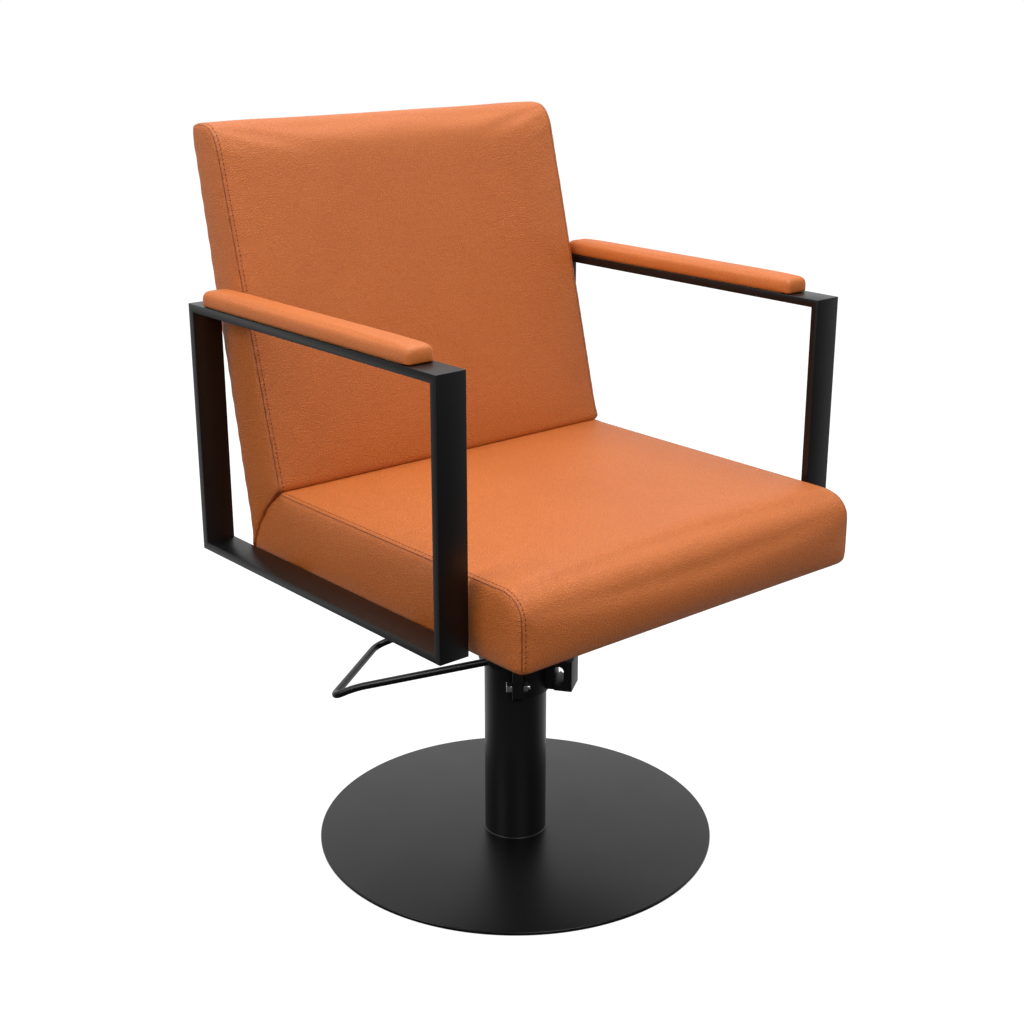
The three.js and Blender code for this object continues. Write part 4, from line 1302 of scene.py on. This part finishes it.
@dataclass
class Pump:
    """The pump head on the column with its clamp, hubs and pedal."""

    workshop: Workshop
    heading: float = math.radians(35)
    pedal_reach: float = 230 * MM
    kick_start: float = 198 * MM
    leg_slope: float = math.radians(17.6)
    kick_slope: float = math.radians(28)
    corner: float = 16 * MM
    rod_radius: float = 5 * MM
    rod_inset: float = 7 * MM
    hub_gap: float = 0.3 * MM
    pivot_z: float = field(init=False)
    hub_end: float = field(init=False)
    hub_radius: float = field(init=False)

    def __post_init__(self) -> None:
        """Read the pivot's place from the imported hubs."""
        low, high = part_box("pedal_hub_right")
        self.pivot_z = (low.z + high.z) / 2
        self.hub_radius = (high.z - low.z) / 2
        along = Vector((math.cos(self.heading), math.sin(self.heading), 0))
        points = [v.co for v in frame["nodes"]["pedal_hub_right"].data.vertices]
        self.hub_end = max(-point.dot(along) for point in points)

    def build(self) -> None:
        """Make the castings, the fasteners and the pedal."""
        for node, body in (("pump_head", "base"), ("pedal_hub_left", "pedal"), ("pedal_hub_right", "pedal")):
            self.workshop.dress(refined(node, 1.0 * MM), body, Slot.CASTING)
        self.workshop.dress(refined("clamp_bolt", 0.7 * MM), "base", Slot.BRIGHT_STEEL)
        blacked = self.workshop.finishes[Slot.CASTING]
        for side in Side:
            bolt = refined(f"pivot_bolt_{side.word}", 0.7 * MM)
            self.workshop.dress(bolt, "base", Slot.BRIGHT_STEEL, blacked)
        self.workshop.dress(refined("clamp_nut", 0.5 * MM, 2), "base", Slot.ZINC)
        self.workshop.dress(self.pedal(), "pedal", Slot.POWDER_COAT)

    def pedal(self) -> bpy.types.Object:
        """The pedal's bent rod: two legs, a kick and the toe bar.

        Returns:
            The rod.
        """
        reach = self.hub_radius + self.hub_gap
        half = self.hub_end - self.rod_inset
        kick_z = self.pivot_z - self.kick_start * math.tan(self.leg_slope)
        toe_z = kick_z - (self.pedal_reach - self.kick_start) * math.tan(self.kick_slope)
        start = (reach * math.cos(self.leg_slope), self.pivot_z - reach * math.sin(self.leg_slope))
        leg = [start, (self.kick_start, kick_z), (self.pedal_reach, toe_z)]
        near = [Vector((-half, y, z)) for y, z in leg]
        far = [Vector((half, y, z)) for y, z in reversed(leg)]
        turn = Matrix.Rotation(self.heading, 3, "Z")
        path = rounded([turn @ corner for corner in near + far], self.corner, 10)
        made = rod("pedal_rod_body", path, self.rod_radius, 6)
        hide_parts("pedal_rod")
        return made


@dataclass
class Seat:
    """The seat pad with its side seams and topstitching."""

    workshop: Workshop
    sewing: Sewing
    side_give: float = 0.5 * MM
    front_give: float = 2 * MM
    top_give: float = 4 * MM
    rim: float = 14 * MM
    drop: float = 5 * MM
    cover_gap: float = 4 * MM
    rest_band: float = 3 * MM
    toe_in: float = 6 * MM
    toe_up: float = 3 * MM
    padding: Padding = field(
        default_factory=lambda: Padding(5.2 * MM, Vector((3.8 * MM, 9 * MM, 7 * MM)), 5 * MM)
    )

    def build(self) -> None:
        """Make the pad, then its seams."""
        low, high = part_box("seat_cushion")
        crease_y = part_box("back_cushion")[0].y
        shrink_y = 1 - self.front_give / (crease_y - low.y)
        shrink_z = 1 - self.top_give / (high.z - low.z)
        bottom = low.z + self.rim
        joint = Joint("seat_cushion", "back_cushion")
        outline = [
            (
                crease_y + (y - crease_y) * (shrink_y if y < crease_y else 1.0),
                low.z + (z - low.z) * shrink_z - (self.drop if z < bottom else 0.0),
            )
            for y, z in side_outline("seat_cushion")
        ]
        outline = joint.pressed(outline, 1)
        half = high.x - self.side_give
        pad = prism("seat_pad", outline, -half, half)
        loops = seam_loops(outline, half)
        top_z = low.z + (high.z - low.z) * shrink_z
        floor = low.z - self.drop + self.rest_band
        seams = list(loops.values())
        self.padding.inflate(pad, tree_of(seams), lambda place: place.z < floor, joint.holds)
        crease_seams(pad, seams)
        self.tuck_under(pad)
        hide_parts("seat_cushion")
        self.workshop.dress(pad, "seat", Slot.UPHOLSTERY)

        for side, loop in loops.items():
            x = side.value * half
            crease = Vector((x, crease_y, top_z))
            front = Vector((x, low.y + self.front_give, (low.z + top_z) / 2))
            toe = Vector((x, low.y + self.front_give + self.toe_in, low.z + self.toe_up))
            line = stretch(loop, crease, front, toe)
            # A painted shadow strip along the seam, then the topstitching.
            self.sewing.seam_shadow(f"seat_seam_{side.word}", pad, line)
            self.sewing.topstitch(f"seat_stitches_{side.word}", pad, line, side)

    def tuck_under(self, pad: bpy.types.Object) -> None:
        """Lift the leather under the seat clear of the dust cover, inside its rim.

        Args:
            pad: The seat pad.
        """
        low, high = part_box("dust_cover")
        lifted = high.z + self.cover_gap
        places = np.array([v.co[:] for v in pad.data.vertices])
        inside = np.all(places[:, :2] > np.array(low[:2]), axis=1)
        inside &= np.all(places[:, :2] < np.array(high[:2]), axis=1)
        inside &= places[:, 2] < lifted
        places[inside, 2] = lifted
        pad.data.vertices.foreach_set("co", places.ravel())
        pad.data.update()


@dataclass
class Back:
    """The reclined back pad with its side seams and topstitching."""

    workshop: Workshop
    sewing: Sewing
    side_give: float = 0.0
    top_give: float = -5 * MM
    rim: float = 8 * MM
    drop: float = 8 * MM
    crease_in: float = 6 * MM
    crease_down: float = 12 * MM
    head_in: float = 30 * MM
    nape_down: float = 14 * MM
    foot_up: float = 2 * MM
    padding: Padding = field(
        default_factory=lambda: Padding(5.2 * MM, Vector((4.0 * MM, 9 * MM, 8 * MM)), 5 * MM)
    )

    def build(self) -> None:
        """Make the pad, then its seams."""
        low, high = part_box("back_cushion")
        seat_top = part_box("seat_cushion")[1].z
        shrink_z = 1 - self.top_give / (high.z - low.z)
        foot_z = low.z + self.rim
        outline = [
            (y, low.z + (z - low.z) * shrink_z - (self.drop if z < foot_z else 0.0))
            for y, z in side_outline("back_cushion")
        ]
        joint = Joint("back_cushion", "seat_cushion")
        outline = joint.pressed(outline, -1)
        half = high.x - self.side_give
        pad = prism("back_pad", outline, -half, half)
        loops = seam_loops(outline, half)
        crease_z = low.z + (seat_top - low.z) * shrink_z
        seams = list(loops.values())
        self.padding.inflate(pad, tree_of(seams), lambda place: False, joint.holds)
        crease_seams(pad, seams)
        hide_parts("back_cushion")
        self.workshop.dress(pad, "seat", Slot.UPHOLSTERY)

        top_z = max(z for _, z in outline)
        rear_y = max(y for y, _ in outline)
        foot_y = max(y for y, z in outline if z < foot_z)
        for side, loop in loops.items():
            x = side.value * half
            crease = Vector((x, low.y + self.crease_in, crease_z - self.crease_down))
            head = Vector((x, rear_y - self.head_in, top_z))
            nape = Vector((x, rear_y, top_z - self.nape_down))
            foot = Vector((x, foot_y, low.z + self.foot_up))
            front_line = stretch(loop, crease, head, nape)
            half_way = Vector((x, (rear_y + foot_y) / 2, (low.z + top_z) / 2))
            rear_line = stretch(loop, nape, half_way, foot)
            # Painted shadow strips along the front and rear seams.
            self.sewing.seam_shadow(f"back_seam_front_{side.word}", pad, front_line)
            self.sewing.seam_shadow(f"back_seam_rear_{side.word}", pad, rear_line)
            self.sewing.topstitch(f"back_stitches_{side.word}", pad, front_line, side)


@dataclass
class ArmRest:
    """One arm: the flat-bar frame and its padded rest."""

    workshop: Workshop
    side: Side
    give: float = 0.6 * MM
    longer: float = 6 * MM
    corner: float = 8 * MM
    softened: float = 8.5 * MM
    shade: float = 2.5 * MM
    padding: Padding = field(
        default_factory=lambda: Padding(
            2.5 * MM, Vector((0.8 * MM, 1.2 * MM, 2.2 * MM)), 0.0, smooth=5, ripple=0.0, slide=0.0
        )
    )

    def build(self) -> None:
        """Make the frame and the pad."""
        bar = refined(f"arm_frame_{self.side.word}", 0.9 * MM)
        self.workshop.dress(bar, "seat", Slot.POWDER_COAT)
        node = f"arm_pad_{self.side.word}"
        low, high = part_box(node)
        pad = self.plain_form(low, high)
        floor = low.z + self.padding.voxel / 2
        far_below = [[Vector((x, low.y, low.z - 0.5)) for x in (low.x, high.x)]]

        def stuck(place: Vector) -> bool:
            """Whether a place lies on the pad board."""
            return place.z < floor

        self.padding.inflate(pad, tree_of(far_below), stuck, stuck)
        # Painted shade: the pad's leather darkens toward its bottom edge, where it sits on the arm frame.
        layer = pad.data.attributes.new("seam_grime_and_shade", "FLOAT", "POINT")
        bottom_shade = [math.exp(-(((v.co.z - low.z) / self.shade) ** 2)) for v in pad.data.vertices]
        layer.data.foreach_set("value", bottom_shade)
        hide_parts(node)
        self.workshop.dress(pad, "seat", Slot.UPHOLSTERY, self.workshop.smooth_leather)

    def plain_form(self, low: Vector, high: Vector) -> bpy.types.Object:
        """The pad before it is stuffed: a bar with round ends and softened upper edges.

        Args:
            low: The CAD pad's lowest corner.
            high: The CAD pad's highest corner.

        Returns:
            The plain form.
        """
        select_only()
        size = (high - low) + Vector((-2 * self.give, self.longer, -self.give))
        centre = (low + high) / 2 - Vector((0, 0, self.give / 2))
        bpy.ops.mesh.primitive_cube_add(size=1, location=centre, scale=size)
        pad = bpy.context.object
        pad.name = f"arm_rest_{self.side.word}"
        bpy.ops.object.transform_apply(location=True, rotation=True, scale=True)

        def raised(edge: bpy.types.MeshEdge) -> int:
            """How many of an edge's ends lie in the pad's upper half."""
            return sum(pad.data.vertices[i].co.z > centre.z for i in edge.vertices)

        for ends, offset in ((1, self.corner), (2, self.softened)):
            mark(pad, Pick.EDGES, lambda edge: raised(edge) == ends)
            with edit(pad, Pick.EDGES):
                bpy.ops.mesh.bevel(offset=offset, segments=6, affect="EDGES")
        tidy_normals(pad)
        return pad


# ---------------------------------------------------------------- studio
@dataclass(frozen=True)
class Softbox:
    """One rectangular studio light."""

    name: str
    place: Vector
    aim: Vector
    size: Point2
    power: float

    def build(self) -> None:
        """Hang the light and point it."""
        data = bpy.data.lights.new(self.name, "AREA")
        data.shape = "RECTANGLE"
        data.size, data.size_y = self.size
        data.energy = self.power
        light = bpy.data.objects.new(self.name, data)
        light.location = self.place
        light.rotation_euler = (self.aim - self.place).to_track_quat("-Z", "Y").to_euler()
        light.visible_camera = False
        bpy.context.scene.collection.objects.link(light)


@dataclass
class Studio:
    """White floor, white surroundings, soft lights and the camera."""

    floor_radius: float = 9.0
    floor_glow: float = 0.92
    bright_side: Triple = (0.60, 0.70, 0.42)
    dim: float = 0.08
    bright: float = 0.94
    camera_place: Vector = field(default_factory=lambda: Vector((-1.3012, -1.5126, 1.1345)))
    camera_right: Vector = field(default_factory=lambda: Vector((0.7597, -0.6504, 0.0)))
    camera_up: Vector = field(default_factory=lambda: Vector((0.2067, 0.2414, 0.9482)))
    lens: float = 56.61
    sensor: float = 36.0

    def build(self) -> None:
        """Set the stage."""
        self.add_floor()
        self.add_surround()
        target = Vector((0, 0, 0.55))
        for box in (
            Softbox("overhead", Vector((0.2, 0.1, 2.7)), target, (2.2, 1.8), 46.0),
            Softbox("front_fill", Vector((-0.7, -2.4, 2.05)), target, (1.8, 1.2), 38.0),
            Softbox("side_fill", Vector((-2.7, 0.3, 2.0)), target, (1.4, 1.2), 42.0),
        ):
            box.build()
        self.add_camera()
        view = bpy.context.scene.view_settings
        view.view_transform = "Standard"
        view.look = "None"
        view.exposure = 0.0
        view.gamma = 1.0

    def add_floor(self) -> None:
        """A white floor that glows a little, as an overexposed studio sweep does."""
        select_only()
        bpy.ops.mesh.primitive_circle_add(vertices=96, radius=self.floor_radius, fill_type="NGON")
        floor = bpy.context.object
        floor.name = "studio_floor"
        tree = Tree(bpy.data.materials.new("studio_sweep"))
        floor.data.materials.append(
            tree.surface(
                Base_Color=(0.20, 0.20, 0.20, 1.0),
                Roughness=0.9,
                Specular_IOR_Level=0.1,
                Emission_Color=(1.0, 1.0, 1.0, 1.0),
                Emission_Strength=self.floor_glow,
            )
        )
        floor.visible_diffuse = False
        floor.visible_glossy = False

    def add_surround(self) -> None:
        """A surround that is bright behind and above the chair and dark behind the camera."""
        world = bpy.data.worlds.new("studio_surround")
        tree = Tree(world)
        heading = Sock(tree, tree.coordinates["Generated"])
        bright_side = Vector(self.bright_side).normalized()
        product = {"operation": "DOT_PRODUCT"}
        toward = tree.sock("ShaderNodeVectorMath", "Value", product, {0: heading, 1: bright_side})
        bounds = {"From Min": -0.45, "From Max": 0.85, "To Min": self.dim, "To Max": self.bright}
        step = {"interpolation_type": "SMOOTHSTEP"}
        level = tree.sock("ShaderNodeMapRange", 0, step, {"Value": toward, **bounds})
        seen = tree.sock("ShaderNodeLightPath", "Is Camera Ray")
        white = {"Color": (1, 1, 1, 1)}
        glow = tree.sock("ShaderNodeBackground", 0, None, {**white, "Strength": level})
        plain = tree.sock("ShaderNodeBackground", 0, None, white)
        choice = tree.sock("ShaderNodeMixShader", 0, None, {0: seen, 1: glow, 2: plain})
        tree.node("ShaderNodeOutputWorld", None, {"Surface": choice})
        bpy.context.scene.world = world

    def add_camera(self) -> None:
        """The camera, from the front at the sitter's right, a little above the arms."""
        data = bpy.data.cameras.new("studio_camera")
        data.lens = self.lens
        data.sensor_width = self.sensor
        camera = bpy.data.objects.new("studio_camera", data)
        back = self.camera_right.cross(self.camera_up)
        turn = Matrix((self.camera_right, self.camera_up, back)).transposed()
        camera.rotation_mode = "QUATERNION"
        camera.rotation_quaternion = turn.to_quaternion()
        camera.location = self.camera_place
        bpy.context.scene.collection.objects.link(camera)
        bpy.context.scene.camera = camera


def main() -> None:
    """Build the chair and its studio."""
    logging.basicConfig(level=logging.INFO, format="%(name)s: %(message)s")
    Studio().build()
    workshop = Workshop()
    workshop.dress_frame()
    sewing = Sewing(workshop)
    Base(workshop).build()
    Column(workshop).build()
    Pump(workshop).build()
    Seat(workshop, sewing).build()
    Back(workshop, sewing).build()
    for side in Side:
        ArmRest(workshop, side).build()


if __name__ == "__main__":
    main()
